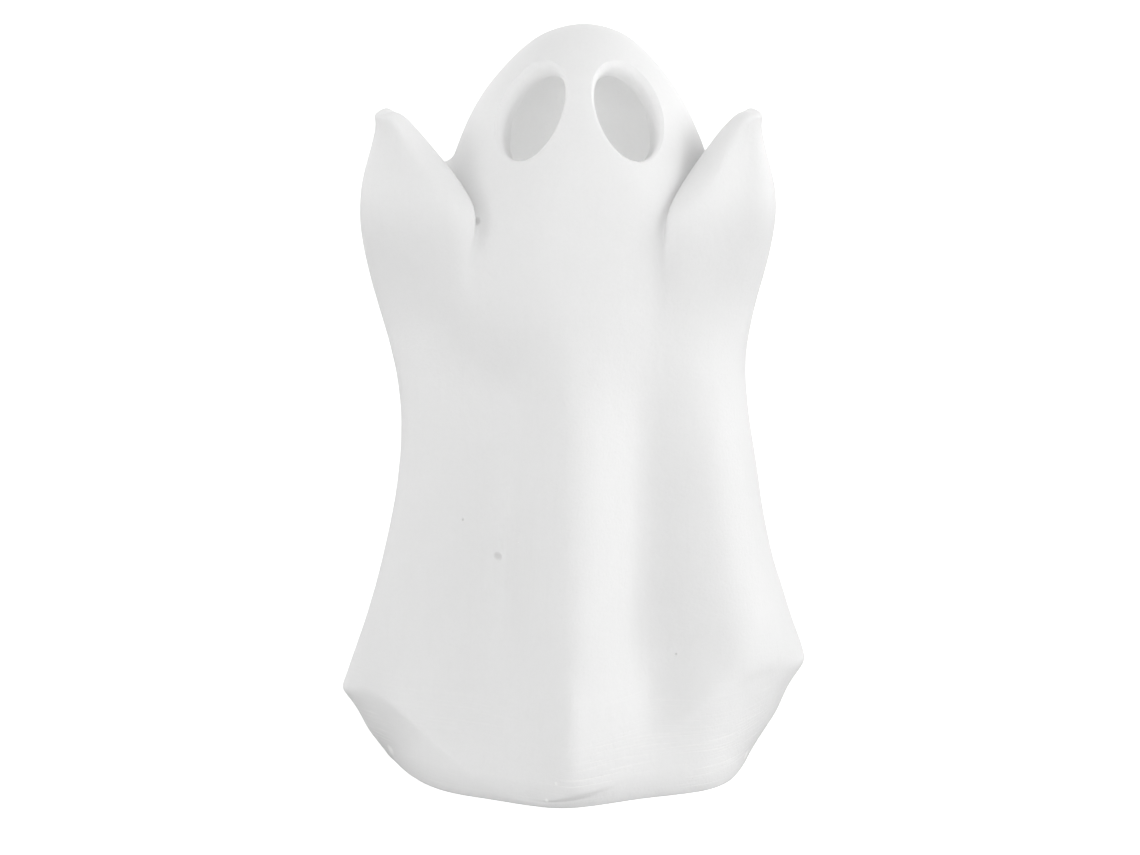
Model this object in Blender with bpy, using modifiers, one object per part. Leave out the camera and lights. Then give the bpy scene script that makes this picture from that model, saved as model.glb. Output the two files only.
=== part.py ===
# A hollow cast resin ghost with a battery lamp in its base.
# Metres, +Z up, the face looks towards -Y, and the foot stands on Z = 0.

import bpy
import bmesh
from math import cos, sin, pi, radians, tau, hypot
from mathutils import Matrix, Vector
from mathutils.bvhtree import BVHTree

# Clearances, cuts and what counts as the same point
gap = 0.0003
overrun = 0.0020
weld = 0.00001

# The cells
cell_radius = 0.00525
cell_length = 0.0435
cell_nub_radius = 0.0026
cell_nub_height = 0.0010
cell_edge = 0.0004
cell_gap = 0.0004
cell_spacing = cell_radius * 2 + cell_gap

# The tray that holds them
tray_wall = 0.0015
tray_corner = 0.0020
contact_thickness = 0.0004
spring_length = 0.0040
tray_length = cell_length + cell_nub_height + spring_length + (contact_thickness + gap * 2) * 2 + gap
tray_width = cell_spacing * 2 + (cell_radius + gap) * 2

# Its door
door_thickness = 0.0018
door_lip = 0.0018
recess_spare = 0.0002

# The foot is as wide as the tray needs: a mouth round the tray, a ledge for the plate, and the rim
mouth_room = 0.00016
ledge_width = 0.0070
rim_width = 0.0061
mouth_radius = hypot(tray_length / 2 + tray_wall, tray_width / 2 + tray_wall) + mouth_room
plate_radius = mouth_radius + ledge_width
foot_radius = plate_radius + rim_width
plate_lift = 0.0015
plate_thickness = 0.0030

# The figure
body_height = 0.1800
foot_offset = -0.0019
foot_spare = 0.0010
resin_wall = 0.0058
arms_offset = -0.0015


# Scene and materials


def emptyScene():
    for thing in list(bpy.data.objects):
        bpy.data.objects.remove(thing, do_unlink=True)


def collectionFor(name):
    found = bpy.data.collections.get(name) or bpy.data.collections.new(name)
    if name not in bpy.context.scene.collection.children:
        bpy.context.scene.collection.children.link(found)
    return found


def plainMaterial(name, colour, roughness, metallic=0.0):
    material = bpy.data.materials.new(name)
    material.use_nodes = True
    shader = material.node_tree.nodes["Principled BSDF"]
    shader.inputs["Base Color"].default_value = (*colour, 1.0)
    shader.inputs["Roughness"].default_value = roughness
    shader.inputs["Metallic"].default_value = metallic
    return material


emptyScene()
partsCollection = collectionFor("resin_ghost")
cuttersCollection = collectionFor("cutters")

resin = plainMaterial("white_resin", (0.90, 0.90, 0.89), 0.45)
moulding = plainMaterial("white_plastic", (0.80, 0.80, 0.78), 0.40)
blackPlastic = plainMaterial("black_plastic", (0.02, 0.02, 0.02), 0.40)
springSteel = plainMaterial("plated_steel", (0.70, 0.70, 0.70), 0.25, 1.0)
cellSleeve = plainMaterial("cell_sleeve", (0.12, 0.12, 0.13), 0.35)
boardGreen = plainMaterial("board_green", (0.02, 0.16, 0.06), 0.40)
resistorTan = plainMaterial("resistor_tan", (0.62, 0.45, 0.26), 0.45)
lampClear = plainMaterial("warm_lens", (0.95, 0.88, 0.70), 0.10)
redSleeve = plainMaterial("red_sleeve", (0.55, 0.02, 0.02), 0.45)
blackSleeve = plainMaterial("black_sleeve", (0.02, 0.02, 0.02), 0.45)


# Modelling helpers


def place(name, mesh, collection, parent=None, at=(0, 0, 0)):
    thing = bpy.data.objects.new(name, mesh)
    collection.objects.link(thing)
    thing.parent = parent
    thing.location = at
    return thing


def asCutter(thing):
    partsCollection.objects.unlink(thing)
    cuttersCollection.objects.link(thing)
    thing.hide_render = True
    thing.display_type = "WIRE"
    return thing


def finished(thing, material, smoothAngle=40):
    thing.data.materials.clear()
    thing.data.materials.append(material)
    thing.data.shade_smooth()
    thing.data.set_sharp_from_angle(angle=radians(smoothAngle))
    return thing


def meshFrom(name, bm):
    mesh = bpy.data.meshes.new(name)
    bm.to_mesh(mesh)
    bm.free()
    return mesh


def block(name, size, centre, parent=None, turn=0.0):
    bm = bmesh.new()
    bmesh.ops.create_cube(bm, size=1)
    bmesh.ops.scale(bm, vec=size, verts=bm.verts)
    bmesh.ops.rotate(bm, matrix=Matrix.Rotation(turn, 3, "Z"), verts=bm.verts)
    bmesh.ops.translate(bm, vec=centre, verts=bm.verts)
    return place(name, meshFrom(name, bm), partsCollection, parent)


def rod(name, radius, bottom, top, xy=(0, 0), parent=None, topRadius=None, sides=24):
    bm = bmesh.new()
    bmesh.ops.create_cone(
        bm,
        cap_ends=True,
        segments=sides,
        radius1=radius,
        radius2=radius if topRadius is None else topRadius,
        depth=top - bottom,
    )
    bmesh.ops.translate(bm, vec=(xy[0], xy[1], (bottom + top) / 2), verts=bm.verts)
    return place(name, meshFrom(name, bm), partsCollection, parent)


def turned(name, profile, steps=24, parent=None, at=(0, 0, 0)):
    # The profile runs down the outer side from the axis at the top to the axis at the bottom.
    bm = bmesh.new()
    points = [bm.verts.new((radius, 0, height)) for radius, height in profile]
    for upper, lower in zip(points, points[1:]):
        bm.edges.new((upper, lower))
    thing = place(name, meshFrom(name, bm), partsCollection, parent, at)
    screw = thing.modifiers.new("turn", "SCREW")
    screw.steps = steps
    screw.render_steps = steps
    screw.use_merge_vertices = True
    screw.merge_threshold = weld
    applied(thing)
    return thing


def applied(thing):
    # The modifiers' result becomes the mesh itself.
    bpy.context.view_layer.update()
    shape = thing.evaluated_get(bpy.context.evaluated_depsgraph_get())
    mesh = bpy.data.meshes.new_from_object(shape)
    thing.modifiers.clear()
    thing.data = mesh
    return thing


def tube(name, points, radius, parent=None, resolution=1):
    curve = bpy.data.curves.new(name, "CURVE")
    curve.dimensions = "3D"
    curve.bevel_depth = radius
    curve.bevel_resolution = resolution
    curve.use_fill_caps = True
    spline = curve.splines.new("POLY")
    spline.points.add(len(points) - 1)
    for knot, point in zip(spline.points, points):
        knot.co = (*point, 1)
    thing = place(name, curve, partsCollection, parent)
    bpy.context.view_layer.update()
    mesh = bpy.data.meshes.new_from_object(thing.evaluated_get(bpy.context.evaluated_depsgraph_get()))
    bm = bmesh.new()
    bm.from_mesh(mesh)
    bmesh.ops.remove_doubles(bm, verts=bm.verts, dist=weld)
    bm.to_mesh(mesh)
    bm.free()
    bpy.data.objects.remove(thing)
    return place(name, mesh, partsCollection, parent)


def combine(target, other, operation):
    boolean = target.modifiers.new(operation.lower(), "BOOLEAN")
    boolean.operation = operation
    boolean.solver = "EXACT"
    boolean.object = other
    applied(target)
    if operation == "UNION":
        bpy.data.objects.remove(other)
    else:
        asCutter(other)
    return target


def cut(target, *cutters):
    for cutter in cutters:
        combine(target, cutter, "DIFFERENCE")
    return target


def joined(target, *others):
    for other in others:
        combine(target, other, "UNION")
    return target


def bevelled(thing, width, segments=2, angle=40):
    bevel = thing.modifiers.new("edges", "BEVEL")
    bevel.width = width
    bevel.segments = segments
    bevel.limit_method = "ANGLE"
    bevel.angle_limit = radians(angle)
    return applied(thing)


def smoothCurve(knots, perSpan):
    # A Catmull-Rom curve through the knots.
    path = [Vector(k) for k in knots]
    path = [2 * path[0] - path[1], *path, 2 * path[-1] - path[-2]]
    points = []
    for a, b, c, d in zip(path, path[1:], path[2:], path[3:]):
        for step in range(perSpan):
            t = step / perSpan
            bend = (2 * a - 5 * b + 4 * c - d) * t**2
            twist = (3 * b - a - 3 * c + d) * t**3
            points.append((2 * b + (c - a) * t + bend + twist) / 2)
    points.append(path[-2])
    return points


# The ghost's body: rings of sixteen points round a cage that a subdivision surface smooths.
# The spokes stand at these degrees from the front, at the hem and at the shoulders.

spokes = 16
hem_azimuths = (0, 18, 37, 58, 97, 120, 143, 166, 188, 211, 233, 256, 278, 291, 315, 338)
shoulder_azimuths = (0, 18, 37, 57, 80, 106, 132, 158, 183, 207, 231, 254, 278, 298, 318, 339)

# Per ring: height share, offset share, and a radius share for each spoke
ring_shares = (
    (0.180, 0.000, (0.975, 0.789, 0.725, 1.090, 1.184, 0.981, 0.815, 0.879,
                    0.975, 0.879, 0.815, 0.969, 1.158, 1.060, 0.750, 0.787)),
    (0.289, 0.000, (0.930, 0.759, 0.700, 1.000, 1.056, 0.904, 0.780, 0.842,
                    0.935, 0.842, 0.780, 0.892, 1.028, 0.985, 0.680, 0.732)),
    (0.422, 0.000, (0.882, 0.736, 0.690, 0.920, 0.966, 0.850, 0.755, 0.809,
                    0.890, 0.809, 0.755, 0.836, 0.934, 0.915, 0.670, 0.709)),
    (0.544, 0.000, (0.838, 0.733, 0.715, 0.850, 0.912, 0.820, 0.745, 0.787,
                    0.850, 0.787, 0.745, 0.842, 0.960, 0.885, 0.700, 0.711)),
    (0.650, 0.000, (0.788, 0.768, 0.755, 0.855, 0.982, 0.852, 0.745, 0.767,
                    0.800, 0.767, 0.745, 0.891, 1.070, 0.898, 0.830, 0.780)),
    (0.770, 0.010, (0.715, 0.725, 0.745, 0.715, 0.715, 0.715, 0.715, 0.715,
                    0.715, 0.715, 0.715, 0.715, 0.715, 0.725, 0.760, 0.735)),
    (0.836, 0.026, (0.652,) * spokes),
    (0.889, 0.027, (0.557,) * spokes),
    (0.936, 0.033, (0.430,) * spokes),
    (0.972, 0.040, (0.290,) * spokes),
)
apex_offset_share = 0.048
shoulder_ring = 4

# The foot's outline is a little wavy: a radius share for each spoke
foot_shares = (
    1.002, 0.948, 1.010, 1.050, 1.006, 1.004, 0.990, 0.978,
    1.000, 0.978, 0.995, 1.000, 0.988, 0.982, 1.010, 0.968,
)

# The foot's band ends at this share of the way up to the hem, and at these shares of the way out to it
band_rise_share = 0.42
band_spread_shares = (
    0.30, 0.20, 0.22, 0.42, 0.56, 0.48, 0.30, 0.30,
    0.30, 0.30, 0.30, 0.50, 0.50, 0.46, 0.30, 0.30,
)

# The hem's crease: height share and radius share of each spoke
hem_height_shares = (
    0.025, 0.038, 0.077, 0.118, 0.107, 0.084, 0.056, 0.034,
    0.025, 0.034, 0.056, 0.076, 0.093, 0.087, 0.041, 0.018,
)
hem_radius_shares = (
    1.037, 0.880, 0.850, 0.980, 1.266, 1.078, 0.925, 0.973,
    1.046, 0.973, 0.925, 1.083, 1.275, 1.080, 0.935, 0.955,
)

# An arm's sections from the shoulder to the tip: across and forward in shares of foot_radius, up in shares
# of body_height. Eight points each, four along the palm side and four along the side that faces the head.
arm_section_shares = (
    ((0.959, 0.118, 0.755), (1.074, -0.347, 0.760), (0.861, -0.513, 0.764), (0.604, -0.655, 0.762),
     (0.817, 0.118, 0.790), (0.817, -0.095, 0.790), (0.683, -0.379, 0.790), (0.489, -0.604, 0.784)),
    ((0.947, 0.008, 0.832), (1.034, -0.324, 0.832), (0.908, -0.434, 0.834), (0.758, -0.525, 0.833),
     (0.876, 0.024, 0.842), (0.825, -0.118, 0.842), (0.742, -0.284, 0.842), (0.655, -0.434, 0.839)),
    ((0.943, -0.087, 0.878), (0.991, -0.308, 0.878), (0.936, -0.407, 0.879), (0.853, -0.446, 0.879),
     (0.908, -0.079, 0.882), (0.876, -0.178, 0.882), (0.833, -0.284, 0.882), (0.805, -0.371, 0.882)),
)
arm_tip_share = (0.932, -0.308, 0.895)
arm_tip_spread_share = 0.60
arm_reach_share = 0.947


def spokeAzimuth(spoke, height_share):
    # The spokes turn a little between the hem and the shoulders.
    climb = min(1.0, height_share / ring_shares[shoulder_ring][0])
    return radians(hem_azimuths[spoke] + (shoulder_azimuths[spoke] - hem_azimuths[spoke]) * climb)


def ringPoint(spoke, height_share, offset_share, radius_share, inset=0.0):
    azimuth = spokeAzimuth(spoke, height_share)
    radius = radius_share * foot_radius - inset
    return Vector((
        offset_share * foot_radius + radius * sin(azimuth),
        -radius * cos(azimuth),
        height_share * body_height,
    ))


def roundRing(radius, height, shares=(1.0,) * spokes):
    ring = []
    for spoke, share in enumerate(shares):
        azimuth = spokeAzimuth(spoke, 0)
        x, y = radius * share * sin(azimuth), -radius * share * cos(azimuth)
        ring.append(Vector((foot_offset + x, y, height)))
    return ring


def bandOfFaces(bm, lower, upper):
    corners = [(k, (k + 1) % spokes) for k in range(spokes)]
    return [bm.faces.new((lower[k], lower[n], upper[n], upper[k])) for k, n in corners]


def ringCage(bm, rings, apex):
    loops = [[bm.verts.new(point) for point in ring] for ring in rings]
    bands = [bandOfFaces(bm, lower, upper) for lower, upper in zip(loops, loops[1:])]
    top = bm.verts.new(apex)
    for k in range(spokes):
        bm.faces.new((loops[-1][k], loops[-1][(k + 1) % spokes], top))
    bm.faces.new(list(reversed(loops[0])))
    return loops, bands


def armPoint(shares, side):
    # The arms stand a little to the left of the head, the more the farther out.
    x, y, z = shares
    shift = arms_offset * x / arm_reach_share
    return Vector((shift + side * x * foot_radius, y * foot_radius, z * body_height))


def growArm(bm, faces, slots, side):
    # The shoulder faces are drawn up in steps, and each step's rim takes the places of its section.
    for section in arm_section_shares:
        drawn = bmesh.ops.extrude_face_region(bm, geom=faces)
        bmesh.ops.delete(bm, geom=faces, context="FACES")
        faces = [f for f in drawn["geom"] if isinstance(f, bmesh.types.BMFace)]
        for vert in (v for v in drawn["geom"] if isinstance(v, bmesh.types.BMVert)):
            vert.co = armPoint(section[vert[slots] - 1], side)
    drawn = bmesh.ops.extrude_face_region(bm, geom=faces)
    bmesh.ops.delete(bm, geom=faces, context="FACES")
    tip = armPoint(arm_tip_share, side)
    ends = [armPoint(p, side) for p in arm_section_shares[-1]]
    middle = sum(ends, Vector()) / len(ends)
    for vert in (v for v in drawn["geom"] if isinstance(v, bmesh.types.BMVert)):
        vert.co = tip + (vert.co - middle) * arm_tip_spread_share


def creaseRing(bm, loop, amount):
    layer = bm.edges.layers.float.get("crease_edge") or bm.edges.layers.float.new("crease_edge")
    for k in range(spokes):
        bm.edges.get((loop[k], loop[(k + 1) % spokes]))[layer] = amount


def creaseRise(bm, loops, spoke, amounts):
    layer = bm.edges.layers.float.get("crease_edge")
    for (lower, upper), amount in zip(zip(loops, loops[1:]), amounts):
        bm.edges.get((lower[spoke], upper[spoke]))[layer] = amount


def smoothedThrough(thing, levels, rounds=4):
    # A subdivision surface draws in from its cage, so the cage is pushed out
    # until the smooth skin runs through the cage's first places.
    subdivision = thing.modifiers.new("smooth", "SUBSURF")
    subdivision.levels = levels
    subdivision.render_levels = levels
    wanted = [v.co.copy() for v in thing.data.vertices]
    for _ in range(rounds):
        bpy.context.view_layer.update()
        skin = thing.evaluated_get(bpy.context.evaluated_depsgraph_get()).data
        moves = [w - skin.vertices[i].co for i, w in enumerate(wanted)]
        for vert, move in zip(thing.data.vertices, moves):
            vert.co += move
    return applied(thing)


def hemRing():
    return [ringPoint(k, hem_height_shares[k], 0.0, hem_radius_shares[k]) for k in range(spokes)]


def bandRing(foot, hem):
    ring = []
    for low, high, spread in zip(foot, hem, band_spread_shares):
        point = low.lerp(high, spread)
        point.z = low.z + (high.z - low.z) * band_rise_share
        ring.append(point)
    return ring


def bodySkin():
    bm = bmesh.new()
    slots = bm.verts.layers.int.new("slot")
    foot, hem = roundRing(foot_radius, -foot_spare, foot_shares), hemRing()
    rings = [foot, bandRing(foot, hem), hem]
    for height, offset, shares in ring_shares:
        rings.append([ringPoint(k, height, offset, shares[k]) for k in range(spokes)])
    apex = Vector((apex_offset_share * foot_radius, 0, body_height))
    loops, bands = ringCage(bm, rings, apex)
    creaseRing(bm, loops[0], 1.0)
    creaseRing(bm, loops[1], 0.3)
    creaseRing(bm, loops[2], 0.65)
    creaseRise(bm, loops[2:], 0, (0.5, 0.4, 0.25))
    creaseRise(bm, loops[2:], 4, (0.3, 0.2))
    creaseRise(bm, loops[2:], 12, (0.3, 0.2))
    shoulder = 3 + shoulder_ring
    lower, upper = loops[shoulder], loops[shoulder + 1]
    for side, order in ((-1, (11, 12, 13, 14)), (1, (5, 4, 3, 2))):
        for number, spoke in enumerate(order):
            lower[spoke][slots] = number + 1
            upper[spoke][slots] = number + 5
        first = min(order)
        growArm(bm, bands[shoulder][first:first + 3], slots, side)
    bmesh.ops.recalc_face_normals(bm, faces=bm.faces)
    skin = place("ghost_shell", meshFrom("ghost_shell", bm), partsCollection)
    return smoothedThrough(skin, 2)


# Screws that hold the plate to the resin

screw_circle = (plate_radius + mouth_radius) / 2
screw_count = 3
screw_radius = 0.0013
screw_length = 0.0090
screw_head_radius = 0.0026
screw_head_height = 0.0016
screw_recess_length = 0.0031
screw_recess_width = 0.0006
screw_recess_depth = 0.0008

plate_top = plate_lift + plate_thickness
ledge_height = plate_top + gap
hollow_rise = 0.0005
hollow_start = plate_lift + screw_length + hollow_rise


# The hollow follows the outside at one wall's distance, without the arms

hollow_shoulder_share = 0.760


def hollow():
    bm = bmesh.new()
    rings = [roundRing(mouth_radius, -overrun), roundRing(mouth_radius, hollow_start)]
    for height, offset, shares in ring_shares[::2]:
        low = min(shares)
        sides = [low + (share - low) * hollow_shoulder_share for share in shares]
        rings.append([ringPoint(k, height, offset, sides[k], resin_wall) for k in range(spokes)])
    apex = Vector((apex_offset_share * foot_radius, 0, body_height - resin_wall))
    ringCage(bm, rings, apex)
    bmesh.ops.recalc_face_normals(bm, faces=bm.faces)
    inside = place("hollow", meshFrom("hollow", bm), partsCollection)
    return smoothedThrough(inside, 1)


# The eyes: ovals with rolled lips, cut square to the head's skin. A lip is widest above and outside.

eye_height_share = 0.9011
eye_spacing_share = 0.5044
eye_middle = 0.0010
eye_width = 0.0150
eye_length = 0.0232
eye_slant = radians(2)
eye_lip_tight = 0.0007
eye_lip_wide = 0.0034
eye_lip_power = 1.5
eye_reach = 0.0130
eye_points = 28
eye_lip_turns = (22, 50, 90)


def eyeLip(turn, side):
    facing = (side * cos(turn) + sin(turn)) / 2**0.5
    return eye_lip_tight + (eye_lip_wide - eye_lip_tight) * ((facing + 1) / 2) ** eye_lip_power


def eyeCutter(name, side, skin):
    corners, faces = [v.co for v in skin.data.vertices], [tuple(p.vertices) for p in skin.data.polygons]
    hull = BVHTree.FromPolygons(corners, faces)
    from_middle = side * eye_spacing_share * foot_radius / 2
    start = Vector((eye_middle + from_middle, -foot_radius * 2, eye_height_share * body_height))
    centre, outward, _, _ = hull.ray_cast(start, Vector((0, 1, 0)))
    sideways = Vector((0, 0, 1)).cross(outward).normalized()
    up = outward.cross(sideways)
    slant = side * eye_slant

    def across(turn, spread):
        x = (eye_width / 2 + spread) * cos(turn)
        y = (eye_length / 2 + spread) * sin(turn)
        return sideways * (x * cos(slant) - y * sin(slant)) + up * (x * sin(slant) + y * cos(slant))

    def onSkin(turn, spread):
        above = centre + across(turn, spread) + outward * foot_radius
        return hull.ray_cast(above, -outward)[0]

    turns = [(tau * k / eye_points, eyeLip(tau * k / eye_points, side)) for k in range(eye_points)]
    first, second = radians(eye_lip_turns[0]), radians(eye_lip_turns[1])
    slope = (sin(second) - sin(first)) / (cos(first) - cos(second))
    flared = []
    for t, lip in turns:
        out = across(t, slope * overrun) - across(t, 0) + outward * (overrun - lip * (1 - cos(first)))
        flared.append(onSkin(t, lip * (1 - sin(first))) + out)
    rings = [flared]
    for a in (radians(angle) for angle in eye_lip_turns):
        ring = [onSkin(t, lip * (1 - sin(a))) - outward * lip * (1 - cos(a)) for t, lip in turns]
        rings.append(ring)
    rings.append([centre + across(t, 0) - outward * eye_reach for t, lip in turns])
    bm = bmesh.new()
    loops = [[bm.verts.new(p) for p in ring] for ring in rings]
    for upper, lower in zip(loops, loops[1:]):
        for k in range(eye_points):
            bm.faces.new((upper[k], upper[(k + 1) % eye_points], lower[(k + 1) % eye_points], lower[k]))
    bm.faces.new(loops[0])
    bm.faces.new(list(reversed(loops[-1])))
    bmesh.ops.recalc_face_normals(bm, faces=bm.faces)
    return place(name, meshFrom(name, bm), partsCollection)


def screwPlaces():
    turns = [tau * k / screw_count for k in range(screw_count)]
    return [(screw_circle * sin(turn), -screw_circle * cos(turn)) for turn in turns]


def ghostShell():
    shell = bodySkin()
    eyes = [eyeCutter("left_eye_cut", -1, shell), eyeCutter("right_eye_cut", 1, shell)]
    middle = (foot_offset, 0)
    floor = block("floor_cut", (body_height, body_height, foot_spare * 2), (0, 0, -foot_spare))
    rebate = rod("rebate_cut", plate_radius + gap, -overrun, ledge_height, middle, sides=48)
    cut(shell, hollow(), floor, rebate)
    for number, (x, y) in enumerate(screwPlaces()):
        top = plate_lift + screw_length + gap * 2
        cut(shell, rod(f"pilot_cut_{number}", screw_radius + gap, 0, top, (foot_offset + x, y), sides=16))
    cut(shell, *eyes)
    return finished(shell, resin)


# Everything in the base is laid out round an empty in the middle of the foot.

base = place("base_middle", None, partsCollection, at=(foot_offset, 0, 0))

door_length = tray_length + door_lip * 2
door_width = tray_width + door_lip * 2
door_top = plate_lift + door_thickness
recess_top = door_top + gap + recess_spare
cell_height = door_top + gap + cell_radius
roof_under = cell_height + cell_radius + gap
roof_top = roof_under + tray_wall
cell_rows = (-cell_spacing, 0, cell_spacing)

# Door furniture
tongue_reach = 0.0011
tongue_width = 0.0060
tongue_thickness = 0.0008
tongue_place = 0.0140
latch_width = 0.0080
latch_reach = 0.0022
finger_room = 0.0020
grip_count = 4
grip_width = 0.0140
grip_height = 0.0005
grip_spacing = 0.0020

# Slide switch
switch_size = (0.0120, 0.0056, 0.0046)
switch_web = 0.00195
knob_size = (0.0040, 0.0022)
switch_y = door_width / 2 + latch_reach + finger_room + switch_web + gap + knob_size[1] / 2
knob_travel = 0.0040
knob_tip = 0.0006
knob_seat = 0.0018
cradle_wall = 0.0014
cradle_height = 0.0034
pin_radius = 0.0004
pin_height = 0.0018
pin_spacing = 0.0030

# Circuit board on the tray's roof
board_size = (0.0300, 0.0200, 0.0012)
board_hole_inset = 0.0030
board_hole_x, board_hole_y = board_size[0] / 2 - board_hole_inset, board_size[1] / 2 - board_hole_inset
board_holes = ((-board_hole_x, -board_hole_y), (board_hole_x, board_hole_y))
board_corner = 0.0015
standoff_radius = 0.0024
standoff_height = 0.0016
board_screw_radius = 0.0009
board_screw_length = 0.0030
board_head_radius = 0.0018
board_crown_share = 0.7
board_head_height = 0.0011
board_under = roof_top + standoff_height + gap
board_top = board_under + board_size[2]

# Contact tabs stand through the roof
tab_width = 0.0026
tab_height = 0.0030
contact_width = 0.0084
contact_half_length = tray_length / 2 - gap - contact_thickness / 2

# Ribs between the tray and the plate's rim keep it stiff
rib_height = 0.0020
rib_width = 0.0012
rib_place_share = 0.2953
rib_places = (-rib_place_share * tray_length, rib_place_share * tray_length)


def basePlate():
    plate = rod("base_plate", plate_radius, plate_lift, plate_top, parent=base, sides=48)
    tray_size = (tray_length + tray_wall * 2, tray_width + tray_wall * 2, roof_top - plate_lift)
    tray = block("tray", tray_size, (0, 0, (roof_top + plate_lift) / 2), base)
    parts = [bevelled(tray, tray_corner)]
    for x in rib_places:
        outer = (mouth_radius**2 - (abs(x) + rib_width) ** 2) ** 0.5 - gap
        inner = tray_width / 2
        for side in (-1, 1):
            spot = (x, side * (inner + outer) / 2, plate_top + (rib_height - gap) / 2)
            parts.append(block("rib", (rib_width, outer - inner, rib_height + gap), spot, base))
    for side in (-1, 1):
        x = side * (switch_size[0] / 2 + gap + cradle_wall / 2)
        size = (cradle_wall, switch_size[1], cradle_height + gap)
        parts.append(block("cradle", size, (x, switch_y, plate_top + cradle_height / 2), base))
    low, top = roof_top - gap, roof_top + standoff_height
    parts += [rod("standoff", standoff_radius, low, top, xy, base, sides=20) for xy in board_holes]
    joined(plate, *parts)

    room = block("tray_room", (tray_length, tray_width, roof_under), (0, 0, roof_under / 2), base)
    recess_size = (door_length + gap * 2, door_width + gap * 2, recess_top)
    recess = block("door_recess", recess_size, (0, 0, recess_top / 2), base)
    notch_y = door_width / 2 + latch_reach / 2 + finger_room / 2
    notch_size = (latch_width + finger_room, latch_reach + finger_room, recess_top)
    notch = block("finger_notch", notch_size, (0, notch_y, recess_top / 2), base)
    slot_size = (knob_size[0] + knob_travel + gap * 2, knob_size[1] + gap * 2, plate_thickness + overrun)
    slot = block("switch_slot", slot_size, (0, switch_y, plate_lift + plate_thickness / 2), base)
    cutters = [room, recess, notch, slot]
    for side in (-1, 1):
        edge = door_width / 2 - gap
        reach = tongue_reach + gap * 4
        low = door_top - tongue_thickness - gap
        size = (tongue_width + gap * 2, reach, plate_top + overrun - low)
        spot = (side * tongue_place, -edge - reach / 2, low + size[2] / 2)
        cutters.append(block("tongue_slot", size, spot, base))
        tab_x = side * contact_half_length
        for y in (cell_spacing, -cell_spacing):
            if side * y > 0:
                size = (contact_thickness + gap * 2, tab_width + gap * 2, tray_wall + overrun)
                cutters.append(block("tab_slot", size, (tab_x, y, roof_under + tray_wall / 2), base))
    for xy in board_holes:
        deep = board_under - board_screw_length + board_size[2] - gap
        cutters.append(rod("board_pilot", board_screw_radius + gap, deep, board_top, xy, base, sides=12))
    for xy in screwPlaces():
        room = screw_radius + gap
        under, sink = plate_lift - overrun, plate_lift + screw_head_height + gap
        cutters.append(rod("screw_hole", room, under, plate_top + overrun, xy, base, sides=16))
        cutters.append(rod("screw_sink", screw_head_radius + gap, plate_lift, sink, xy, base, room, 16))
    cut(plate, *cutters)
    return finished(plate, moulding)


def plateScrews():
    for number, (x, y) in enumerate(screwPlaces()):
        low = plate_lift
        profile = (
            (0, low + screw_length),
            (screw_radius / 2, low + screw_length),
            (screw_radius, low + screw_length - screw_radius),
            (screw_radius, low + screw_head_height),
            (screw_head_radius, low),
            (0, low),
        )
        screw = turned(f"plate_screw_{number + 1}", profile, 12, base, (x, y, 0))
        for turn in (0, pi / 2):
            size = (screw_recess_length, screw_recess_width, screw_recess_depth * 2)
            cut(screw, block("recess", size, (x, y, low), base, turn))
        finished(screw, springSteel)


def batteryDoor():
    # The door turns about its lower front edge, so its origin lies there.
    hinge = (0, -door_width / 2, plate_lift)
    size = (door_length, door_width, door_thickness)
    door = block("battery_door", size, (0, door_width / 2, door_thickness / 2), base)
    door.location = hinge
    pieces = []
    for side in (-1, 1):
        tongue = (tongue_width, tongue_reach + door_lip, tongue_thickness)
        spot = (side * tongue_place, (door_lip - tongue_reach) / 2, door_thickness - tongue_thickness / 2)
        pieces.append(block("tongue", tongue, spot, base))
    latch = (latch_width, latch_reach + door_lip, door_thickness)
    spot = (0, door_width + (latch_reach - door_lip) / 2, door_thickness / 2)
    pieces.append(block("latch", latch, spot, base))
    for number in range(grip_count):
        y = door_width - door_lip - grip_spacing * (number + 1)
        ridge = (grip_width, grip_spacing / 2, grip_height * 2)
        pieces.append(block("grip", ridge, (0, y, 0), base))
    for piece in pieces:
        piece.location = hinge
    joined(door, *pieces)
    return finished(door, moulding)


def cell(number):
    # The outer two cells point right and the middle one left.
    way = -1 if number == 1 else 1
    half = cell_length / 2
    profile = (
        (0, half + cell_nub_height),
        (cell_nub_radius, half + cell_nub_height),
        (cell_nub_radius, half),
        (cell_radius - cell_edge, half),
        (cell_radius, half - cell_edge),
        (cell_radius, -half + cell_edge),
        (cell_radius - cell_edge, -half),
        (0, -half),
    )
    shift = (spring_length + gap - cell_nub_height) / 2
    body = turned(f"cell_{number + 1}", profile, 20, base)
    body.data.transform(Matrix.Rotation(way * pi / 2, 4, "Y"))
    body.location = (way * shift, cell_rows[number], cell_height)
    return finished(body, cellSleeve)


def contactPlate(name, side, rows, sprung=None, tab=None):
    # A plate at one end of the tray, with a spring for a cell's flat end or a tab up through the roof.
    x = side * contact_half_length
    low, high = min(rows) - contact_width / 2, max(rows) + contact_width / 2
    bottom, top = cell_height - contact_width / 2, cell_height + contact_width / 2
    size = (contact_thickness, high - low, top - bottom)
    plate = block(name, size, (x, (low + high) / 2, (bottom + top) / 2), base)
    if tab is not None:
        stand = (contact_thickness, tab_width, roof_top + tab_height - cell_height)
        joined(plate, block("tab", stand, (x, tab, cell_height + stand[2] / 2), base))
    if sprung is not None:
        joined(plate, spring(x, -side, sprung))
    return finished(plate, springSteel)


spring_wire = 0.0003
spring_turns = 3
spring_foot_radius = 0.0038
spring_top_radius = 0.0022
spring_points = 8


def leastGap(points, radius, near):
    # Between the surfaces of the wire, where it has run on by at least half a turn
    apart = [(a - b).length for number, a in enumerate(points) for b in points[number + near:]]
    return min(apart) - radius * 2


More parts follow.
